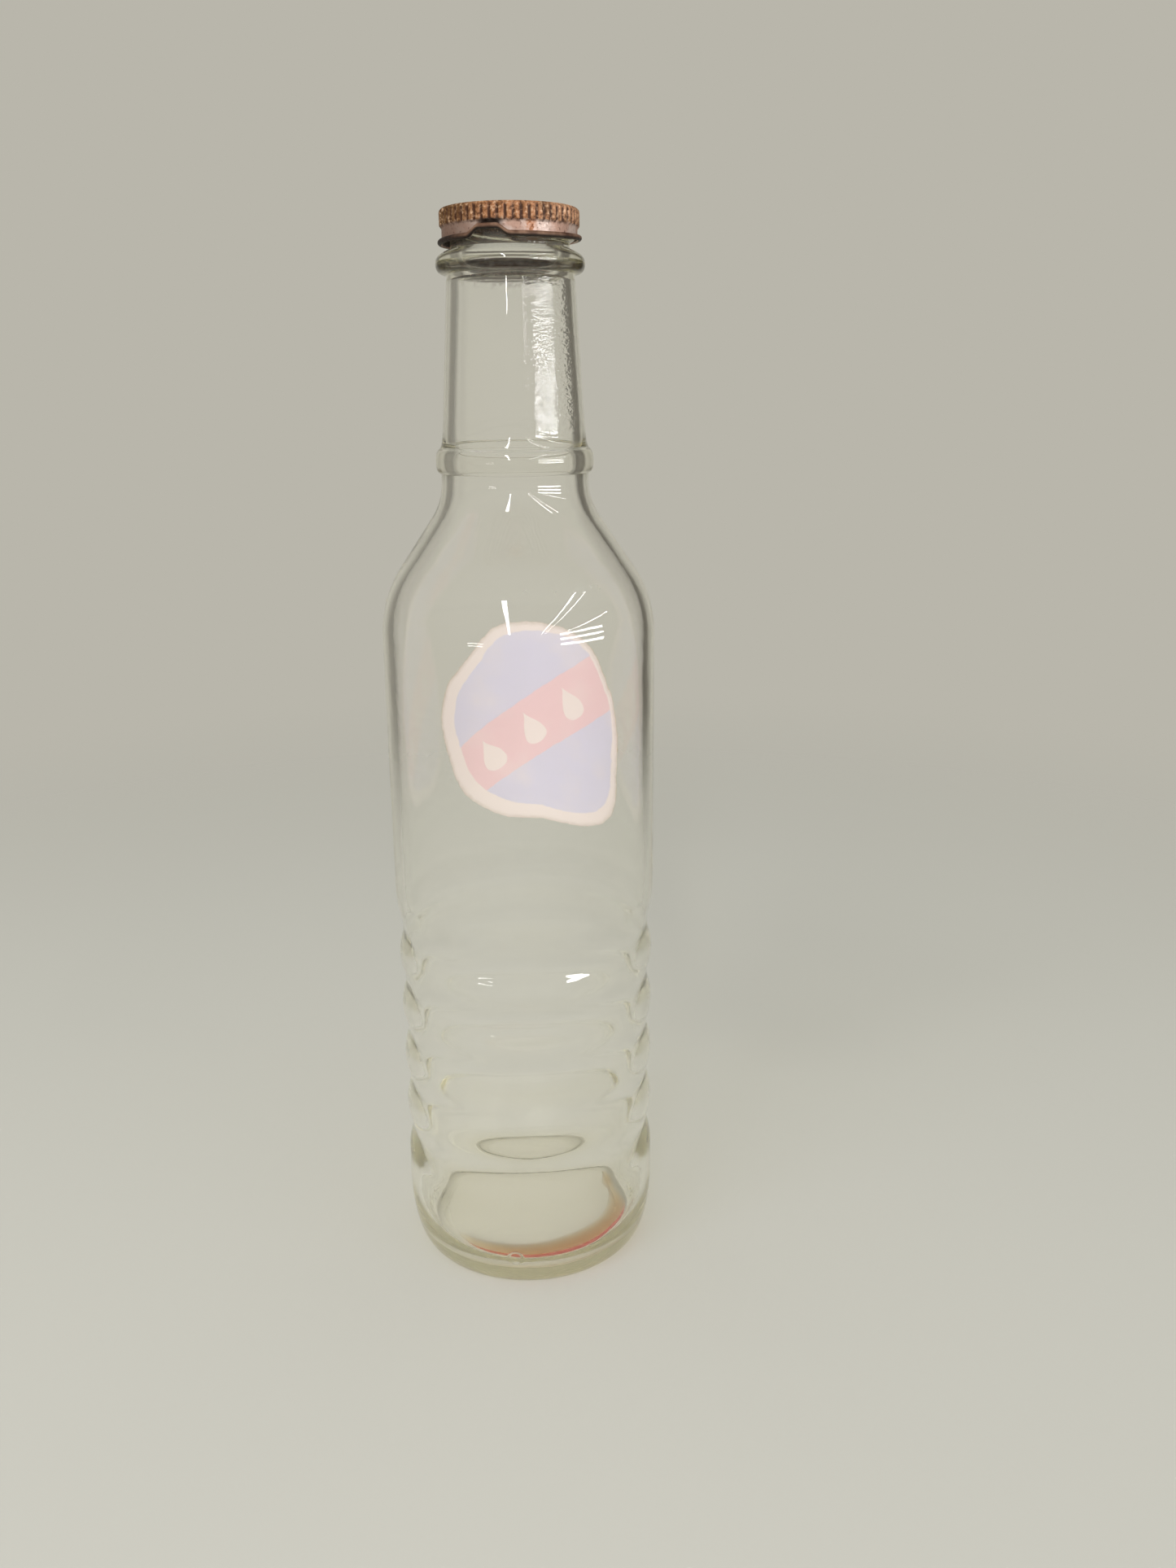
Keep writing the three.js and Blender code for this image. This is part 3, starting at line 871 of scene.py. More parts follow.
class Turned:
    """A piece turned about the upright axis, with a relief worked into it by Geometry Nodes."""

    segments: int = 96

    def section(self) -> Section:
        """Draws the section, from the axis round and back to it."""
        raise NotImplementedError

    def sizes(self) -> dict[str, float]:
        """Gives the relief's sizes in metres, radians or counts, by input name."""
        return {}

    def relief(self, tree: Tree, spot: Spot) -> tuple[Any, Any]:
        """Gives the radius and height of a point once the relief is in."""
        return spot.radius, spot.height

    def tree(self, name: str, weights: list[str], material: Material) -> Tree:
        """Builds the Geometry Nodes that sweep the section round and press the relief in.

        Args:
            name: the piece's name.
            weights: the names of the section's weights.
            material: the finish to set.

        Returns:
            The tree, with one named input for each size.
        """
        tree = bpy.data.node_groups.new(f"turn_{name}", "GeometryNodeTree")
        tree.interface.new_socket(name="Section", in_out="INPUT", socket_type="NodeSocketGeometry")
        tree.interface.new_socket(name="Segments", in_out="INPUT", socket_type="NodeSocketInt")
        for size in self.sizes():
            tree.interface.new_socket(name=size, in_out="INPUT", socket_type="NodeSocketFloat")
        tree.interface.new_socket(name="Piece", in_out="OUTPUT", socket_type="NodeSocketGeometry")
        given = put(tree, "NodeGroupInput").outputs
        count = put(tree, "GeometryNodeAttributeDomainSize", {0: given["Section"]}).outputs["Point Count"]
        columns = put(tree, Op.ADD, {0: given["Segments"], 1: 1.0})
        grid = put(tree, "GeometryNodeMeshGrid", {"Size X": 1.0, "Size Y": 1.0, "Vertices X": columns,
                                                  "Vertices Y": count})
        index = put(tree, "GeometryNodeInputIndex")
        share = put(tree, Op.DIVIDE, {0: index, 1: count})
        column = put(tree, Op.FLOOR, {0: share})
        row = put(tree, Op.MODULO, {0: index, 1: count})
        turn = put(tree, Op.DIVIDE, {0: column, 1: given["Segments"]})
        angle = put(tree, Op.MULTIPLY_ADD, {0: turn, 1: math.tau, 2: -math.pi})
        side = put(tree, Op.SINE, {0: angle})
        front = put(tree, Op.COSINE, {0: angle})
        back = put(tree, Op.MULTIPLY, {0: front, 1: -1.0})
        at = put(tree, "GeometryNodeSampleIndex", {"Geometry": given["Section"], "Index": row,
                                                   "Value": put(tree, "GeometryNodeInputPosition")},
                 data_type="FLOAT_VECTOR")
        radius, _, height = put(tree, SPLIT, {0: at}).outputs
        taken = {}
        for weight in weights:
            value = put(tree, "GeometryNodeInputNamedAttribute", {"Name": weight}, data_type="FLOAT")
            taken[weight] = put(tree, "GeometryNodeSampleIndex", {"Geometry": given["Section"], "Index": row,
                                                                  "Value": value}, data_type="FLOAT")
        way = put(tree, JOIN, {0: side, 1: back})
        out = put(tree, VECTOR, {0: way, "Scale": radius}, operation="SCALE")
        up = put(tree, JOIN, {2: height})
        place = put(tree, VECTOR, {0: out, 1: up}, operation="ADD")
        spot = Spot(radius, height, angle, place, taken, {size: given[size] for size in self.sizes()})
        radius, height = self.relief(tree, spot)
        out = put(tree, VECTOR, {0: way, "Scale": radius}, operation="SCALE")
        up = put(tree, JOIN, {2: height})
        place = put(tree, VECTOR, {0: out, 1: up}, operation="ADD")
        moved = put(tree, "GeometryNodeSetPosition", {"Geometry": grid, "Position": place})
        joined = put(tree, "GeometryNodeMergeByDistance", {"Geometry": moved, "Distance": 2e-6})
        real = put(tree, "GeometryNodeRealizeInstances", {"Geometry": joined})
        dressed = put(tree, "GeometryNodeSetMaterial", {"Geometry": real, "Material": material})
        put(tree, "NodeGroupOutput", {0: dressed})
        return tree

    def turn(self, name: str, material: Material) -> Piece:
        """Turns the piece into a plain mesh.

        Args:
            name: the piece's name.
            material: its finish.

        Returns:
            The finished piece.
        """
        section = self.section()
        line = bpy.data.meshes.new(f"{name}_section")
        line.from_pydata([(radius * MM, 0.0, height * MM) for radius, height in section.points], [], [])
        for weight, values in section.weights.items():
            line.attributes.new(weight, "FLOAT", "POINT").data.foreach_set("value", values)
        blank = bpy.data.objects.new(f"{name}_blank", line)
        bpy.context.scene.collection.objects.link(blank)
        modifier = blank.modifiers.new("turn", "NODES")
        modifier.node_group = self.tree(name, list(section.weights), material)
        given = {"Segments": self.segments, **self.sizes()}
        for item in modifier.node_group.interface.items_tree:
            if item.name in given:
                modifier[item.identifier] = given[item.name]
        depsgraph = bpy.context.evaluated_depsgraph_get()
        mesh = bpy.data.meshes.new_from_object(blank.evaluated_get(depsgraph), depsgraph=depsgraph)
        blank.modifiers.remove(modifier)
        bpy.data.objects.remove(blank)
        bpy.data.meshes.remove(line)
        return show(name, mesh)


def thread(tree: Tree, spot: Spot, fade: float = 0.09) -> Node:
    """Works out the height of a screw thread's bead at a point.

    Args:
        tree: the tree that takes the nodes.
        spot: the point, whose sizes hold the thread's start, first and last turn, width and height.
        fade: the share of a turn over which the bead runs out at its ends.

    Returns:
        How far the bead stands off the wall there.
    """
    sizes = spot.sizes
    turn = put(tree, Op.DIVIDE, {0: spot.angle, 1: math.tau})
    above = put(tree, Op.SUBTRACT, {0: spot.height, 1: sizes["Thread Start"]})
    laps = put(tree, Op.DIVIDE, {0: above, 1: sizes["Thread Lead"]})
    laps = put(tree, Op.SUBTRACT, {0: laps, 1: turn})
    lap = put(tree, Op.ROUND, {0: laps})
    off = put(tree, Op.SUBTRACT, {0: laps, 1: lap})
    off = put(tree, Op.MULTIPLY, {0: off, 1: sizes["Thread Lead"]})
    off = put(tree, Op.ABSOLUTE, {0: off})
    along = put(tree, Op.ADD, {0: turn, 1: lap})
    bead = put(tree, RAMP, {"Value": off, "From Min": sizes["Thread Half Width"], "From Max": 0.0},
               interpolation_type="SMOOTHERSTEP")
    since = put(tree, Op.SUBTRACT, {0: along, 1: sizes["Thread First Turn"]})
    until = put(tree, Op.SUBTRACT, {0: sizes["Thread Last Turn"], 1: along})
    bead = within(tree, bead, (since, 0.0, fade), (until, 0.0, fade), easing="SMOOTHSTEP")
    return put(tree, Op.MULTIPLY, {0: bead, 1: sizes["Thread Height"]})


@dataclass
class GlassBottle(Turned):
    """The moulded glass: pushed-up base, ribbed wall, label panel, shoulder, ringed neck and screw finish."""

    finish: Finish
    segments: int = 168
    groove_first: float = 39.4
    groove_pitch: float = 17.6
    groove_count: int = 5
    groove_radius: float = 39.1
    groove_inside: float = 36.9
    rib_radius: float = 40.6
    rib_inside: float = 37.6
    panel_lead: float = 12.0
    wall_radius: float = 40.85
    wave_depth: float = 0.3
    wave_size: float = 26.0
    wave_stretch: Place = (1.0, 1.0, 0.4)
    sag_depth: float = 0.8
    sag_size: float = 14.0
    thread_start: float = 311.5

    def sizes(self) -> dict[str, float]:
        """Gives the waviness, the floor's sag and the thread.

        Returns:
            The sizes by input name.
        """
        return {"Wave Depth": self.wave_depth * MM, "Wave Scale": per_mm(self.wave_size), "Seed": 3.0,
                "Floor Sag": self.sag_depth * MM, "Floor Scale": per_mm(self.sag_size),
                "Thread Start": self.thread_start * MM, "Thread Lead": THREAD_LEAD * MM,
                "Thread First Turn": 0.0, "Thread Last Turn": 1.15, "Thread Half Width": 1.25 * MM,
                "Thread Height": 1.3 * MM}

    def section(self) -> Section:
        """Draws the glass, up its outside and down its inside.

        Returns:
            The section, with the waviness, the thread and the floor's sag as its weights.
        """
        line = Section(weights={"wave": [], "thread": [], "sag": []})
        line.add(0.0, 3.6)
        line.curve((15.5, 3.6), (31.0, 0.0), step=1.6)
        line.curve((36.0, 0.0), step=1.2)
        line.curve((37.6, 0.0), (40.6, 7.0), (40.6, 20.0), step=0.9, wave=0.2)
        half = self.groove_pitch / 2
        grooves = [self.groove_first + self.groove_pitch * index for index in range(self.groove_count)]
        line.curve((self.rib_radius, grooves[0] - half), step=2.0, wave=0.2)
        for groove in grooves:
            line.ease((self.groove_radius, groove), wave=0.5)
            if groove != grooves[-1]:
                line.ease((self.rib_radius, groove + half), wave=0.5)
        panel = grooves[-1] + self.panel_lead
        line.ease((self.wall_radius, panel), wave=0.3)
        line.curve((self.wall_radius, 202.3), step=3.2, wave=0.3)
        line.arc((4.85, 202.3), 36.0, 1.6, 34.4, wave=0.3)
        line.arc((39.5, 247.28), 18.0, 214.4, 180.0, wave=0.3)
        line.curve((21.5, 249.58), step=0.8, wave=0.2)
        line.curve((22.9, 249.58), (22.9, 252.98), step=0.45)
        line.curve((22.9, 255.7), (21.75, 256.5), step=0.45)
        line.curve((20.85, 257.1), (20.55, 262.3), step=0.45)
        line.curve((18.2, 301.78), step=2.2, wave=0.6)
        line.curve((17.95, 301.78), step=0.3)
        line.curve((17.95, 303.38), step=0.5)
        line.curve((20.9, 303.38), (20.9, 306.08), step=0.4)
        line.curve((20.9, 308.78), (18.6, 309.08), (16.7, 310.08), step=0.4)
        line.curve((16.7, 317.28), step=0.22, thread=1.0)
        line.curve((16.0, 317.98), step=0.35)
        line.curve((14.0, 317.98), step=0.7)
        line.curve((13.3, 317.28), step=0.35)
        line.curve((13.3, 310.08), step=1.6)
        line.curve((13.3, 303.38), (15.2, 301.78), step=1.0)
        line.curve((17.9, 256.38), step=2.6, wave=1.0)
        line.curve((18.5, 247.28), step=1.6, wave=1.0)
        line.arc((39.5, 247.28), 21.0, 180.0, 214.4, step=1.4, wave=1.0)
        line.arc((4.85, 202.3), 33.0, 34.4, 1.6, step=1.6, wave=1.0)
        line.curve((37.85, 202.3), step=1.0, wave=1.0)
        line.curve((37.85, panel), step=3.2, wave=1.0)
        for groove in reversed(grooves):
            line.ease((self.groove_inside, groove), step=1.2, wave=1.5)
            line.ease((self.rib_inside, groove - half), step=1.2, wave=1.5)
        line.curve((self.rib_inside, 20.0), step=1.5, wave=1.5)
        line.curve((37.6, 7.7), (33.3, 4.2), (29.0, 4.2), step=0.7, wave=1.5, sag=1.0)
        line.curve((14.5, 7.4), (0.0, 7.4), step=1.8, sag=1.0)
        return line

    def relief(self, tree: Tree, spot: Spot) -> tuple[Any, Any]:
        """Makes the walls and the floor uneven, as blown glass is, and stands the thread on the finish.

        Args:
            tree: the tree that takes the nodes.
            spot: the point.

        Returns:
            Its new radius and height.
        """
        long = put(tree, VECTOR, {0: spot.place, 1: self.wave_stretch}, operation="MULTIPLY")
        seed = spot.sizes["Seed"]
        deep = put(tree, NOISE, {"Vector": long, "W": seed, "Scale": spot.sizes["Wave Scale"], "Detail": 2.0},
                   noise_dimensions="4D")
        for share in (spot.sizes["Wave Depth"], spot.weights["wave"]):
            deep = put(tree, Op.MULTIPLY, {0: deep, 1: share})
        bead = put(tree, Op.MULTIPLY, {0: thread(tree, spot), 1: spot.weights["thread"]})
        radius = put(tree, Op.SUBTRACT, {0: spot.radius, 1: deep})
        sag = put(tree, NOISE, {"Vector": spot.place, "W": seed, "Scale": spot.sizes["Floor Scale"],
                                "Detail": 1.0}, noise_dimensions="4D")
        for share in (spot.sizes["Floor Sag"], spot.weights["sag"]):
            sag = put(tree, Op.MULTIPLY, {0: sag, 1: share})
        height = put(tree, Op.SUBTRACT, {0: spot.height, 1: sag})
        return put(tree, Op.ADD, {0: radius, 1: bead}), height

    def build(self) -> Piece:
        """Makes the glass and puts it on its body.

        Returns:
            The piece.
        """
        piece = self.turn("glass_body", self.finish.material())
        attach(piece, "bottle")
        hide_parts("glass_bottle")
        return piece


class Face(Enum):
    """The two faces of the label, by material index."""

    INSIDE = 0
    OUTSIDE = 1


@dataclass
class PaperLabel:
    """The hand-cut paper label on the far wall, its printed face outwards."""

    inside: Finish
    outside: Finish
    outline: tuple[Point, ...] = (
        (-6.0, 35.9), (-12.5, 34.2), (-16.5, 30.9), (-20.8, 26.2), (-26.0, 21.7), (-31.0, 16.9),
        (-33.9, 10.4), (-34.9, 3.0), (-32.5, -6.3), (-28.8, -16.5), (-24.1, -23.4), (-16.8, -28.7),
        (-9.5, -31.9), (3.7, -33.0), (12.5, -34.4), (21.0, -34.0), (29.2, -31.0), (34.4, -24.5),
        (36.2, -8.0), (36.0, 3.0), (34.2, 10.6), (29.9, 18.2), (24.8, 26.6), (12.0, 34.2))
    middle_height: float = 163.55
    offset: float = 3.7
    wall_radius: float = 40.85
    inner_radius: float = 40.95
    outer_radius: float = 41.15
    spokes: int = 240
    rings: int = 24
    inset: float = 0.1
    fray: float = 0.35
    seed: int = 7

    def rim(self) -> np.ndarray:
        """Draws the cut edge as a smooth closed line through the outline, a little frayed.

        Returns:
            Points along the wall and up, in millimetres.
        """
        knots = np.array(self.outline)
        count = len(knots)
        each = self.spokes // count
        points = []
        for index in range(count):
            a, b, c, d = (knots[(index + step) % count] for step in (-1, 0, 1, 2))
            t0 = 0.0
            t1 = t0 + math.sqrt(np.linalg.norm(b - a))
            t2 = t1 + math.sqrt(np.linalg.norm(c - b))
            t3 = t2 + math.sqrt(np.linalg.norm(d - c))
            for t in np.linspace(t1, t2, each, endpoint=False):
                ab = a * (t1 - t) / (t1 - t0) + b * (t - t0) / (t1 - t0)
                bc = b * (t2 - t) / (t2 - t1) + c * (t - t1) / (t2 - t1)
                cd = c * (t3 - t) / (t3 - t2) + d * (t - t2) / (t3 - t2)
                abc = ab * (t2 - t) / (t2 - t0) + bc * (t - t0) / (t2 - t0)
                bcd = bc * (t3 - t) / (t3 - t1) + cd * (t - t1) / (t3 - t1)
                points.append(abc * (t2 - t) / (t2 - t1) + bcd * (t - t1) / (t2 - t1))
        rim = np.array(points)
        frays = np.random.default_rng(self.seed).random(len(rim)) ** 2 * self.fray
        size = np.linalg.norm(rim, axis=1)
        return rim * ((size - frays - self.inset) / size)[:, None]

    def build(self) -> Piece:
        """Makes the sheet, bent round the wall, and puts it on its body.

        Returns:
            The piece.
        """
        rim = self.rim()
        spokes = len(rim)
        flat = [np.zeros(2)]
        shares = [0.0]
        for ring in range(1, self.rings + 1):
            flat.extend(rim * ring / self.rings)
            shares.extend([ring / self.rings] * spokes)
        size = len(flat)
        places = []
        for radius in (self.inner_radius, self.outer_radius):
            for along, up in flat:
                angle = (along + self.offset) / self.wall_radius
                places.append(metres(radius * math.sin(angle), radius * math.cos(angle),
                                     self.middle_height + up))
        faces = []
        for side in (0, size):
            for spoke in range(spokes):
                after = (spoke + 1) % spokes
                faces.append((side, side + 1 + spoke, side + 1 + after))
                for ring in range(self.rings - 1):
                    low = side + 1 + ring * spokes
                    high = low + spokes
                    faces.append((low + spoke, high + spoke, high + after, low + after))
        half = len(faces) // 2
        last = 1 + (self.rings - 1) * spokes
        faces.extend((last + spoke, last + (spoke + 1) % spokes, size + last + (spoke + 1) % spokes,
                      size + last + spoke) for spoke in range(spokes))
        mesh = bpy.data.meshes.new("paper_label")
        mesh.from_pydata(places, [], faces)
        sides = [Face.INSIDE.value] * half + [Face.OUTSIDE.value] * (len(faces) - half)
        mesh.polygons.foreach_set("material_index", sides)
        mesh.attributes.new("rim", "FLOAT", "POINT").data.foreach_set("value", shares * 2)
        sheet = mesh.uv_layers.new(name="sheet")
        for loop in mesh.loops:
            along, up = flat[loop.vertex_index % size]
            sheet.data[loop.index].uv = (along / SHEET_SPAN + 0.5, up / SHEET_SPAN + 0.5)
        mesh.materials.append(self.inside.material())
        mesh.materials.append(self.outside.material())
        piece = show("paper_label", mesh)
        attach(piece, "bottle")
        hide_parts("label")
        return piece


@dataclass
class OilResidue:
    """The red oil left in the corner of the floor, with a level top a little out of true."""

    finish: Finish
    level: float = 4.38
    slope: float = 3.0
    downhill: float = -62.0
    floor_gap: float = 0.3
    crown: Point = (29.0, 7.4)
    crown_drop: float = 3.2
    heel: tuple[Point, ...] = ((29.0, 4.2), (33.3, 4.2), (37.6, 7.7), (37.6, 20.0))
    reach: Span = (12.0, 37.0)
    fan: float = 120.0
    least_depth: float = 0.02
    edge_depth: float = 0.004
    rows: int = 140
    columns: int = 26

    def floor(self) -> tuple[np.ndarray, np.ndarray]:
        """Draws the bottle's floor from its middle to the wall.

        Returns:
            Its radii and heights in millimetres.
        """
        t = np.linspace(0.0, 1.0, 400)
        wide, high = self.crown
        crown = np.stack([wide * t, high - self.crown_drop * t ** 2])
        ends = np.array(self.heel).T
        heel = sum(math.comb(3, k) * (1 - t) ** (3 - k) * t ** k * ends[:, k:k + 1] for k in range(4))
        radii, heights = np.concatenate([crown, heel[:, 1:]], axis=1)
        return radii, heights

    def top(self, radius: Any, angle: float) -> Any:
        """Height of the oil's top at a radius, or at many, and an angle."""
        tilt = math.tan(math.radians(self.slope))
        return self.level + tilt * radius * math.cos(angle - math.radians(self.downhill))

    def build(self) -> Piece:
        """Makes the pool between its level and the floor, and puts it on its body.

        Returns:
            The piece.
        """
        radii, heights = self.floor()
        fine = np.linspace(*self.reach, 4000)
        bed = np.interp(fine, radii, heights) + self.floor_gap
        spans = []
        for angle in np.radians(self.downhill + np.linspace(-self.fan, self.fan, 1441)):
            wet = np.flatnonzero(self.top(fine, angle) - bed > self.least_depth)
            if len(wet):
                spans.append((angle, fine[wet[0]], fine[wet[-1]]))
        picks = np.linspace(0, len(spans) - 1, self.rows).round().astype(int)
        places = []
        for pick in picks:
            angle, near, far = spans[pick]
            for radius in np.linspace(near, far, self.columns):
                top = self.top(radius, angle)
                bottom = min(np.interp(radius, radii, heights) + self.floor_gap, top - self.edge_depth)
                for height in (top, bottom):
                    places.append(metres(radius * math.cos(angle), radius * math.sin(angle), height))
        faces = []
        stride = 2 * self.columns
        for row in range(self.rows - 1):
            for column in range(self.columns - 1):
                for side in (0, 1):
                    corner = row * stride + 2 * column + side
                    faces.append((corner, corner + 2, corner + stride + 2, corner + stride))
            for column in (0, self.columns - 1):
                corner = row * stride + 2 * column
                faces.append((corner, corner + 1, corner + stride + 1, corner + stride))
        for row in (0, self.rows - 1):
            for column in range(self.columns - 1):
                corner = row * stride + 2 * column
                faces.append((corner, corner + 1, corner + 3, corner + 2))
        mesh = bpy.data.meshes.new("red_oil_pool")
        mesh.from_pydata(places, [], faces)
        mesh.materials.append(self.finish.material())
        piece = show("red_oil_pool", mesh)
        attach(piece, "bottle")
        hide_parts("oil_residue")
        return piece


@dataclass
class SealDisc(Turned):
    """A disc of the seal under the cap, rounded at its edge and a little uneven."""

    name: str
    node: str
    slot: str
    finish: Finish
    bottom: float
    top: float
    radius: float = 18.3
    edge: float = 0.1
    uneven: float = 0.03
    grain_size: float = 2.0
    segments: int = 128

    def sizes(self) -> dict[str, float]:
        """Gives the unevenness."""
        return {"Uneven": self.uneven * MM, "Grain Scale": per_mm(self.grain_size), "Seed": 5.0}

    def section(self) -> Section:
        """Draws the disc from the middle of its top to the middle of its underside.

        Returns:
            The section, with its edge as the weight.
        """
        line = Section(weights={"rough": []})
        line.add(0.0, self.top)
        line.curve((self.radius - self.edge, self.top), step=1.2)
        line.curve((self.radius, self.top), (self.radius, self.top - self.edge), step=0.06, rough=1.0)
        line.curve((self.radius, self.bottom + self.edge), step=0.15, rough=1.0)
        line.curve((self.radius, self.bottom), (self.radius - self.edge, self.bottom), step=0.06, rough=1.0)
        line.curve((0.0, self.bottom), step=1.2)
        return line

    def relief(self, tree: Tree, spot: Spot) -> tuple[Any, Any]:
        """Wears the edge back by a fraction.

        Args:
            tree: the tree that takes the nodes.
            spot: the point.

        Returns:
            Its new radius, and its height as it was.
        """
        deep = put(tree, NOISE, {"Vector": spot.place, "W": spot.sizes["Seed"],
                                 "Scale": spot.sizes["Grain Scale"], "Detail": 2.0}, noise_dimensions="4D")
        for share in (spot.sizes["Uneven"], spot.weights["rough"]):
            deep = put(tree, Op.MULTIPLY, {0: deep, 1: share})
        return put(tree, Op.SUBTRACT, {0: spot.radius, 1: deep}), spot.height

    def build(self) -> Piece:
        """Makes the disc and puts it on its body.

        Returns:
            The piece.
        """
        piece = self.turn(self.name, self.finish.material())
        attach(piece, "seal")
        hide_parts(self.node)
        return piece


@dataclass
class ScrewCap(Turned):
    """The tinplate cap: flat top, knurled band, plain band, and a rolled rim prised up at the front."""

    finish: Finish
    segments: int = 448
    top: float = 320.37
    sheet: float = 0.3
    knurl_radius: float = 19.5
    plain_radius: float = 18.9
    edge_round: float = 1.1
    knurl_foot: float = 315.17
    runout: float = 0.9
    flutes: int = 56
    flute_depth: float = 0.45
    roll_centre: Point = (19.35, 312.23)
    roll_radius: float = 0.6
    roll_sweep: float = 270.0
    lift_gap: float = 0.15
    lift_reach: float = 2.7
    thread_start: float = 309.3833
    thread_rise: float = 2.5
    dent_size: float = 6.0
    jag_size: float = 1.4
    edge_steps: int = 8
    edge_plain: int = 2
    wall_steps: int = 8
    runout_steps: int = 4
    band_steps: int = 15
    band_ragged: int = 5

    def sizes(self) -> dict[str, float]:
        """Gives the knurling, the bent rim and the rolled thread.

        Returns:
            The sizes by input name.
        """
        return {"Flutes": self.flutes, "Flute Depth": self.flute_depth * MM, "Ragged": 0.45 * MM,
                "Seed": 11.0, "Pry Angle": math.radians(17.9), "Pry Flat": math.radians(7),
                "Pry Reach": math.radians(18.5), "Pry Lift": 1.9 * MM, "Droop": 0.5 * MM,
                "Raised Angle": math.radians(115), "Raised": 0.75 * MM, "Dent": 0.12 * MM,
                "Thread Start": self.thread_start * MM, "Thread Lead": THREAD_LEAD * MM,
                "Thread First Turn": 1.06, "Thread Last Turn": 1.9, "Thread Half Width": 0.8 * MM,
                "Thread Height": 1.0 * MM}

    def wall(self, inset: float) -> list[tuple[Point, float, float]]:
        """Lists the wall's points from the top's edge to the roll, on one face of the sheet.

        Args:
            inset: how deep in the sheet the face is.

        Returns:
            For each point its place, its share of the flutes and its share of the ragged knurl foot.
        """
        points = []
        bend = self.edge_round - inset
        middle, high = self.knurl_radius - self.edge_round, self.top - self.edge_round
        for index in range(self.edge_steps + 1):
            angle = math.radians(90 - 90 * index / self.edge_steps)
            share = max(0.0, (index - self.edge_plain) / (self.edge_steps - self.edge_plain))
            points.append(((middle + bend * math.cos(angle), high + bend * math.sin(angle)), share, 0.0))
        low = self.knurl_foot + self.runout
        for index in range(1, self.wall_steps + 1):
            share = index / self.wall_steps
            points.append(((self.knurl_radius - inset, high + (low - high) * share), 1.0, share))
        for index in range(1, self.runout_steps + 1):
            share = index / self.runout_steps
            ease = share * share * (3 - 2 * share)
            radius = self.knurl_radius + (self.plain_radius - self.knurl_radius) * ease - inset
            points.append(((radius, low - self.runout * share), 1 - ease, 1.0))
        foot = self.roll_centre[1]
        for index in range(1, self.band_steps):
            height = self.knurl_foot + (foot - self.knurl_foot) * index / self.band_steps
            points.append(((self.plain_radius - inset, height), 0.0, max(0.0, 1 - index / self.band_ragged)))
        return points

    def lifted(self, height: float) -> float:
        """Share of the rim's lift at a height."""
        share = min(1.0, max(0.0, (self.knurl_foot - self.lift_gap - height) / self.lift_reach))
        return share * (0.5 + 0.5 * share * (3 - 2 * share))

    def section(self) -> Section:
        """Draws the sheet from the middle of the top, down, round the roll and back up inside.

        Returns:
            The section, with flutes, rim lift, ragged knurl foot, thread and dents as its weights.
        """
        line = Section(weights={"flute": [], "lift": [], "ragged": [], "thread": [], "dent": []})
        line.add(0.0, self.top)
        line.curve((self.knurl_radius - self.edge_round, self.top), step=1.6)
        for (radius, height), flute, ragged in self.wall(0.0):
            line.add(radius, height, flute=flute, ragged=ragged, lift=self.lifted(height), dent=1.0)
        sheet = self.sheet / 2
        for radius, start, end in ((self.roll_radius - sheet, 0.0, self.roll_sweep),
                                   (self.roll_radius + sheet, self.roll_sweep, 0.0)):
            line.arc(self.roll_centre, radius, 180.0 + start, 180.0 + end, step=0.2, lift=1.0, dent=1.0)
        for (radius, height), flute, ragged in reversed(self.wall(self.sheet)):
            line.add(radius, height, flute=flute, ragged=ragged, lift=self.lifted(height), dent=1.0,
                     thread=1.0 if height < self.knurl_foot + self.thread_rise else 0.0)
        line.curve((0.0, self.top - self.sheet), step=1.6)
        return line

    def bend(self, tree: Tree, spot: Spot) -> Node:
        """Lifts the rim where it was prised up, lets it droop on the left and rise on the right.

        Args:
            tree: the tree that takes the nodes.
            spot: the point.

        Returns:
            How far the rim rises there.
        """
        sizes = spot.sizes
        from_pry = put(tree, Op.ADD, {0: spot.angle, 1: sizes["Pry Angle"]})
        from_pry = put(tree, Op.ABSOLUTE, {0: from_pry})
        rise = put(tree, RAMP, {"Value": from_pry, "From Min": sizes["Pry Reach"],
                                "From Max": sizes["Pry Flat"]}, interpolation_type="SMOOTHSTEP")
        up = put(tree, Op.MULTIPLY, {0: rise, 1: sizes["Pry Lift"]})
        side = put(tree, Op.SINE, {0: spot.angle})
        side = put(tree, Op.MINIMUM, {0: side, 1: 0.0})
        side = put(tree, Op.POWER, {0: side, 1: 2.0})
        flat = put(tree, Op.SUBTRACT, {0: 1.0, 1: rise})
        down = put(tree, Op.MULTIPLY, {0: side, 1: flat})
        down = put(tree, Op.MULTIPLY, {0: down, 1: sizes["Droop"]})
        tall = put(tree, Op.SUBTRACT, {0: spot.angle, 1: sizes["Raised Angle"]})
        tall = put(tree, Op.COSINE, {0: tall})
        tall = put(tree, Op.MAXIMUM, {0: tall, 1: 0.0})
        tall = put(tree, Op.POWER, {0: tall, 1: 2.0})
        tall = put(tree, Op.MULTIPLY, {0: tall, 1: sizes["Raised"]})
        bend = put(tree, Op.SUBTRACT, {0: up, 1: down})
        bend = put(tree, Op.ADD, {0: bend, 1: tall})
        return put(tree, Op.MULTIPLY, {0: bend, 1: spot.weights["lift"]})

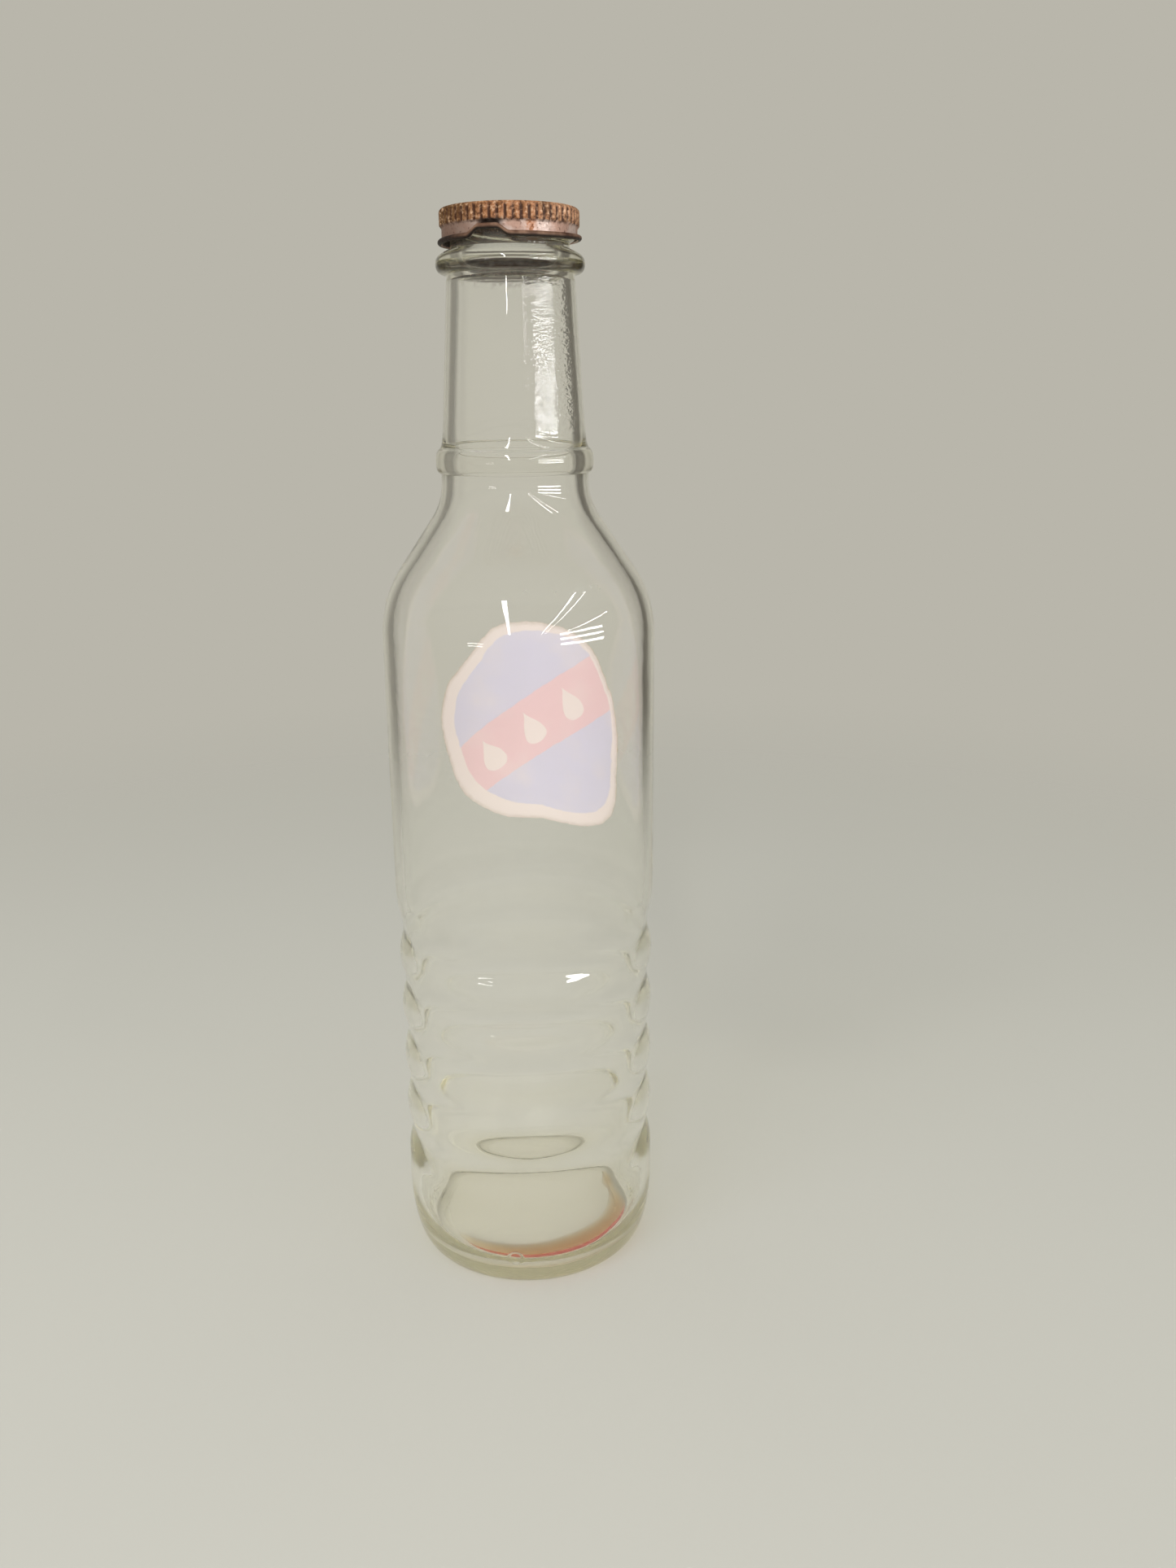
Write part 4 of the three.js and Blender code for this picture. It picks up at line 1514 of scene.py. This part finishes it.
    def relief(self, tree: Tree, spot: Spot) -> tuple[Any, Any]:
        """Presses the flutes, bends the rim, rolls the thread in and dents the sheet a little.

        Args:
            tree: the tree that takes the nodes.
            spot: the point.

        Returns:
            Its new radius and height.
        """
        sizes = spot.sizes
        phase = put(tree, Op.MULTIPLY, {0: spot.angle, 1: sizes["Flutes"]})
        crest = put(tree, Op.COSINE, {0: phase})
        press = put(tree, RAMP, {"Value": crest, "From Min": 0.5, "From Max": -1.0},
                    interpolation_type="SMOOTHSTEP")
        dent = put(tree, NOISE, {"Vector": spot.place, "W": sizes["Seed"], "Scale": per_mm(self.dent_size),
                                 "Detail": 2.0}, noise_dimensions="4D")
        around = put(tree, VECTOR, {0: spot.place, 1: ACROSS}, operation="MULTIPLY")
        jag = put(tree, NOISE, {"Vector": around, "W": sizes["Seed"], "Scale": per_mm(self.jag_size),
                                "Detail": 1.0}, noise_dimensions="4D")
        jag = put(tree, RAMP, {"Value": jag, "To Min": -1.0, "To Max": 1.0})
        parts = []
        for part, size, weight in ((press, "Flute Depth", "flute"), (dent, "Dent", "dent"),
                                   (jag, "Ragged", "ragged")):
            for share in (sizes[size], spot.weights[weight]):
                part = put(tree, Op.MULTIPLY, {0: part, 1: share})
            parts.append(part)
        press, dent, jag = parts
        bead = put(tree, Op.MULTIPLY, {0: thread(tree, spot), 1: spot.weights["thread"]})
        radius = spot.radius
        for part in (press, dent, bead):
            radius = put(tree, Op.SUBTRACT, {0: radius, 1: part})
        height = spot.height
        for part in (self.bend(tree, spot), jag):
            height = put(tree, Op.ADD, {0: height, 1: part})
        return radius, height

    def build(self) -> Piece:
        """Makes the cap and puts it on its body.

        Returns:
            The piece.
        """
        piece = self.turn("tinplate_cap", self.finish.material())
        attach(piece, "cap")
        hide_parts("cap_shell")
        return piece


class Ray(Enum):
    """The kinds of ray that a lamp can be hidden from, by the property that hides it."""

    CAMERA = "visible_camera"
    DIFFUSE = "visible_diffuse"
    GLOSSY = "visible_glossy"
    TRANSMISSION = "visible_transmission"


@dataclass
class Tube:
    """A long narrow lamp under the ceiling, facing down, by its ends in metres."""

    start: Point
    end: Point
    width: float
    radiance: float


@dataclass
class Window:
    """A bright slatted window, by the way to it and its rise in degrees and its size in metres."""

    azimuth: float
    rise: float
    size: Point
    slats: int
    radiance: float


@dataclass
class Studio:
    """The pale floor, the backdrop, the lamps and the camera at the photograph's angle."""

    floor: Finish
    floor_radius: float = 1.2
    floor_gap: float = 0.06
    backdrop: str = "#b9b6ab"
    zenith: str = "#c3c6c4"
    zenith_rise: Span = (0.25, 0.9)
    flag: str = "#5c5850"
    flag_span: tuple[float, float, float, float] = (25.0, 36.0, 56.0, 70.0)
    left_flag: float = 0.7
    box_at: Place = (-0.75, -0.8, 1.15)
    box_size: Point = (0.7, 0.7)
    box_energy: float = 9.0
    ceiling: float = 1.15
    tubes: tuple[Tube, ...] = (
        Tube((-0.27, -1.05), (-0.65, -4.9), 0.1, 26.0),
        Tube((1.0, -0.55), (1.62, -5.0), 0.045, 24.0),
        Tube((1.2, -0.4), (1.9, -5.0), 0.03, 20.0),
        Tube((3.1, -0.4), (3.2, -3.8), 0.12, 22.0))
    windows: tuple[Window, ...] = (
        Window(54.0, 5.0, (2.9, 0.95), 3, 22.0),
        Window(-36.0, 1.0, (0.9, 0.3), 2, 12.0))
    window_far: float = 4.0
    slat_share: float = 0.35
    aim: Place = (0.0, 0.0, 0.2)
    camera_at: Place = (0.0, -391.3, 270.7)
    camera_pitch: float = 16.55
    camera_yaw: float = 3.0
    camera_roll: float = -0.48
    sensor: float = 36.0
    focal_pixels: float = 1603.0
    frame_pixels: float = 1927.0
    bounces: int = 40
    gloss_bounces: int = 24

    def lay_floor(self) -> None:
        """Lays a round floor that fades out, a hair under the base so the two never coincide."""
        shell = bmesh.new()
        bmesh.ops.create_circle(shell, cap_ends=True, segments=96, radius=self.floor_radius)
        mesh = bpy.data.meshes.new("floor")
        shell.to_mesh(mesh)
        shell.free()
        mesh.materials.append(self.floor.material())
        floor = bpy.data.objects.new("floor", mesh)
        floor.location.z = -self.floor_gap * MM
        bpy.context.scene.collection.objects.link(floor)

    def hang_backdrop(self) -> None:
        """Sets the world: a pale backdrop, and two dark flags beside it that only the glass shows."""
        world = bpy.data.worlds.new("studio")
        bpy.context.scene.world = world
        world.use_nodes = True
        tree = world.node_tree
        tree.nodes.clear()
        way = put(tree, PLACE).outputs["Generated"]
        x, y, z = put(tree, SPLIT, {0: way}).outputs
        colour = stain(tree, linear(self.backdrop), (z, *self.zenith_rise, 1.0, self.zenith))
        light = put(tree, "ShaderNodeBackground", {"Color": colour})
        path = put(tree, "ShaderNodeLightPath").outputs
        in_glass = put(tree, Op.MAXIMUM, {0: path["Is Glossy Ray"], 1: path["Is Transmission Ray"]})
        around = put(tree, Op.ARCTAN2, {0: x, 1: y})
        aside = put(tree, Op.ABSOLUTE, {0: around})
        near, dark, bright, far = (math.radians(edge) for edge in self.flag_span)
        flag = put(tree, Op.GREATER_THAN, {0: x, 1: 0.0})
        flag = put(tree, RAMP, {"Value": flag, "To Min": self.left_flag})
        flag = within(tree, flag, (aside, near, dark), (aside, far, bright), easing="SMOOTHSTEP")
        flag = put(tree, Op.MULTIPLY, {0: flag, 1: in_glass})
        shade = stain(tree, linear(self.backdrop), (flag, 0.0, 1.0, 1.0, self.flag))
        sight = put(tree, "ShaderNodeBackground", {"Color": shade})
        seen = put(tree, Op.MAXIMUM, {0: path["Is Camera Ray"], 1: in_glass})
        both = put(tree, "ShaderNodeMixShader", {0: seen, 1: light, 2: sight})
        put(tree, "ShaderNodeOutputWorld", {"Surface": both})

    def hang(self, name: str, size: Point, energy: float, place: Vector, turn: Euler, *hidden: Ray) -> None:
        """Hangs one flat lamp that the camera doesn't see.

        Args:
            name: the lamp's name.
            size: its width and height in metres.
            energy: its power in watts.
            place: its middle.
            turn: the way it faces.
            hidden: the other rays that don't see it.
        """
        lamp = bpy.data.lights.new(name, "AREA")
        lamp.shape = "RECTANGLE"
        lamp.size, lamp.size_y = size
        lamp.energy = energy
        light = bpy.data.objects.new(name, lamp)
        light.location = place
        light.rotation_euler = turn
        for ray in (Ray.CAMERA, *hidden):
            setattr(light, ray.value, False)
        bpy.context.scene.collection.objects.link(light)

    def hang_lamps(self) -> None:
        """Hangs a large soft lamp in front on the left, and the ceiling tubes that draw the streaks."""
        place = Vector(self.box_at)
        turn = (Vector(self.aim) - place).to_track_quat("-Z", "Y").to_euler()
        self.hang("soft_box", self.box_size, self.box_energy, place, turn, Ray.GLOSSY, Ray.TRANSMISSION)
        for number, tube in enumerate(self.tubes):
            start, end = Vector((*tube.start, self.ceiling)), Vector((*tube.end, self.ceiling))
            run = end - start
            turn = Euler((0.0, 0.0, math.atan2(run.y, run.x) - math.pi / 2))
            self.hang(f"tube_{number}", (tube.width, run.length),
                      tube.radiance * math.pi * tube.width * run.length, (start + end) / 2, turn,
                      Ray.TRANSMISSION)

    def open_windows(self) -> None:
        """Stands bright slatted windows low on both sides, which only gloss shows."""
        for window in self.windows:
            turn, rise = math.radians(window.azimuth), math.radians(window.rise)
            back = Vector((math.sin(turn) * math.cos(rise), -math.cos(turn) * math.cos(rise), math.sin(rise)))
            middle = Vector(self.aim) + back * self.window_far
            width, tall = window.size
            pitch = tall / window.slats
            high = pitch * self.slat_share
            for slat in range(window.slats):
                self.hang("window", (width, high), window.radiance * math.pi * width * high,
                          middle + Vector((0, 0, (slat + 0.5) * pitch - tall / 2)),
                          (-back).to_track_quat("-Z", "Y").to_euler(), Ray.DIFFUSE, Ray.TRANSMISSION)

    def set_camera(self) -> None:
        """Stands the camera where the photograph was taken from."""
        lens = bpy.data.cameras.new("camera")
        lens.sensor_fit = "AUTO"
        lens.sensor_width = self.sensor
        lens.lens = self.sensor * self.focal_pixels / self.frame_pixels
        lens.clip_start = 0.01
        camera = bpy.data.objects.new("camera", lens)
        turn = (Matrix.Rotation(math.radians(-self.camera_yaw), 4, "Z")
                @ Matrix.Rotation(math.radians(90 - self.camera_pitch), 4, "X")
                @ Matrix.Rotation(math.radians(self.camera_roll), 4, "Z"))
        camera.location = Vector(self.camera_at) * MM
        camera.rotation_euler = turn.to_euler()
        bpy.context.scene.collection.objects.link(camera)
        bpy.context.scene.camera = camera

    def build(self) -> None:
        """Sets up everything round the object."""
        self.set_camera()
        self.lay_floor()
        self.hang_backdrop()
        self.hang_lamps()
        self.open_windows()
        scene = bpy.context.scene
        scene.view_settings.view_transform = "Standard"
        # Light runs round inside the thick ribs and heel, so its paths are let run on until it leaves them.
        scene.cycles.max_bounces = self.bounces
        scene.cycles.transmission_bounces = self.bounces
        scene.cycles.glossy_bounces = self.gloss_bounces
        # Blurred gloss would spread the lamps into a false glow round the foot.
        scene.cycles.blur_glossy = 0.0


def main() -> None:
    """Builds the studio and the bottle's pieces in order."""
    logging.basicConfig(level=logging.INFO, format="%(name)s: %(message)s")
    Studio(PaleFloor()).build()
    seen_back = PrintedPaper("label_paper_back", "#f5e9ee", "#dcd8f4", "#f2cedb", "#f5e9ee", "#bba9a2")
    printed = PrintedPaper("printed_label_paper", "#e3d2b4", "#5b7fb0", "#b23c34", "#e8cf8a", "#9a7448")
    pieces = (
        GlassBottle(FlintGlass()),
        PaperLabel(seen_back, printed),
        OilResidue(RedOil()),
        SealDisc("waxed_disc", "wad_facing", "waxed_paper", WaxedPaper(), 318.03, 318.28, edge=0.06,
                 uneven=0.02),
        SealDisc("cork_disc", "cork_wad", "cork", PressedCork(), 318.33, 320.03, edge=0.3, uneven=0.12),
        ScrewCap(RustedTinplate()))
    for maker in pieces:
        piece = maker.build()
        piece.data.calc_loop_triangles()
        log.info("%s: %d triangles", piece.name, len(piece.data.loop_triangles))


if __name__ == "__main__":
    main()
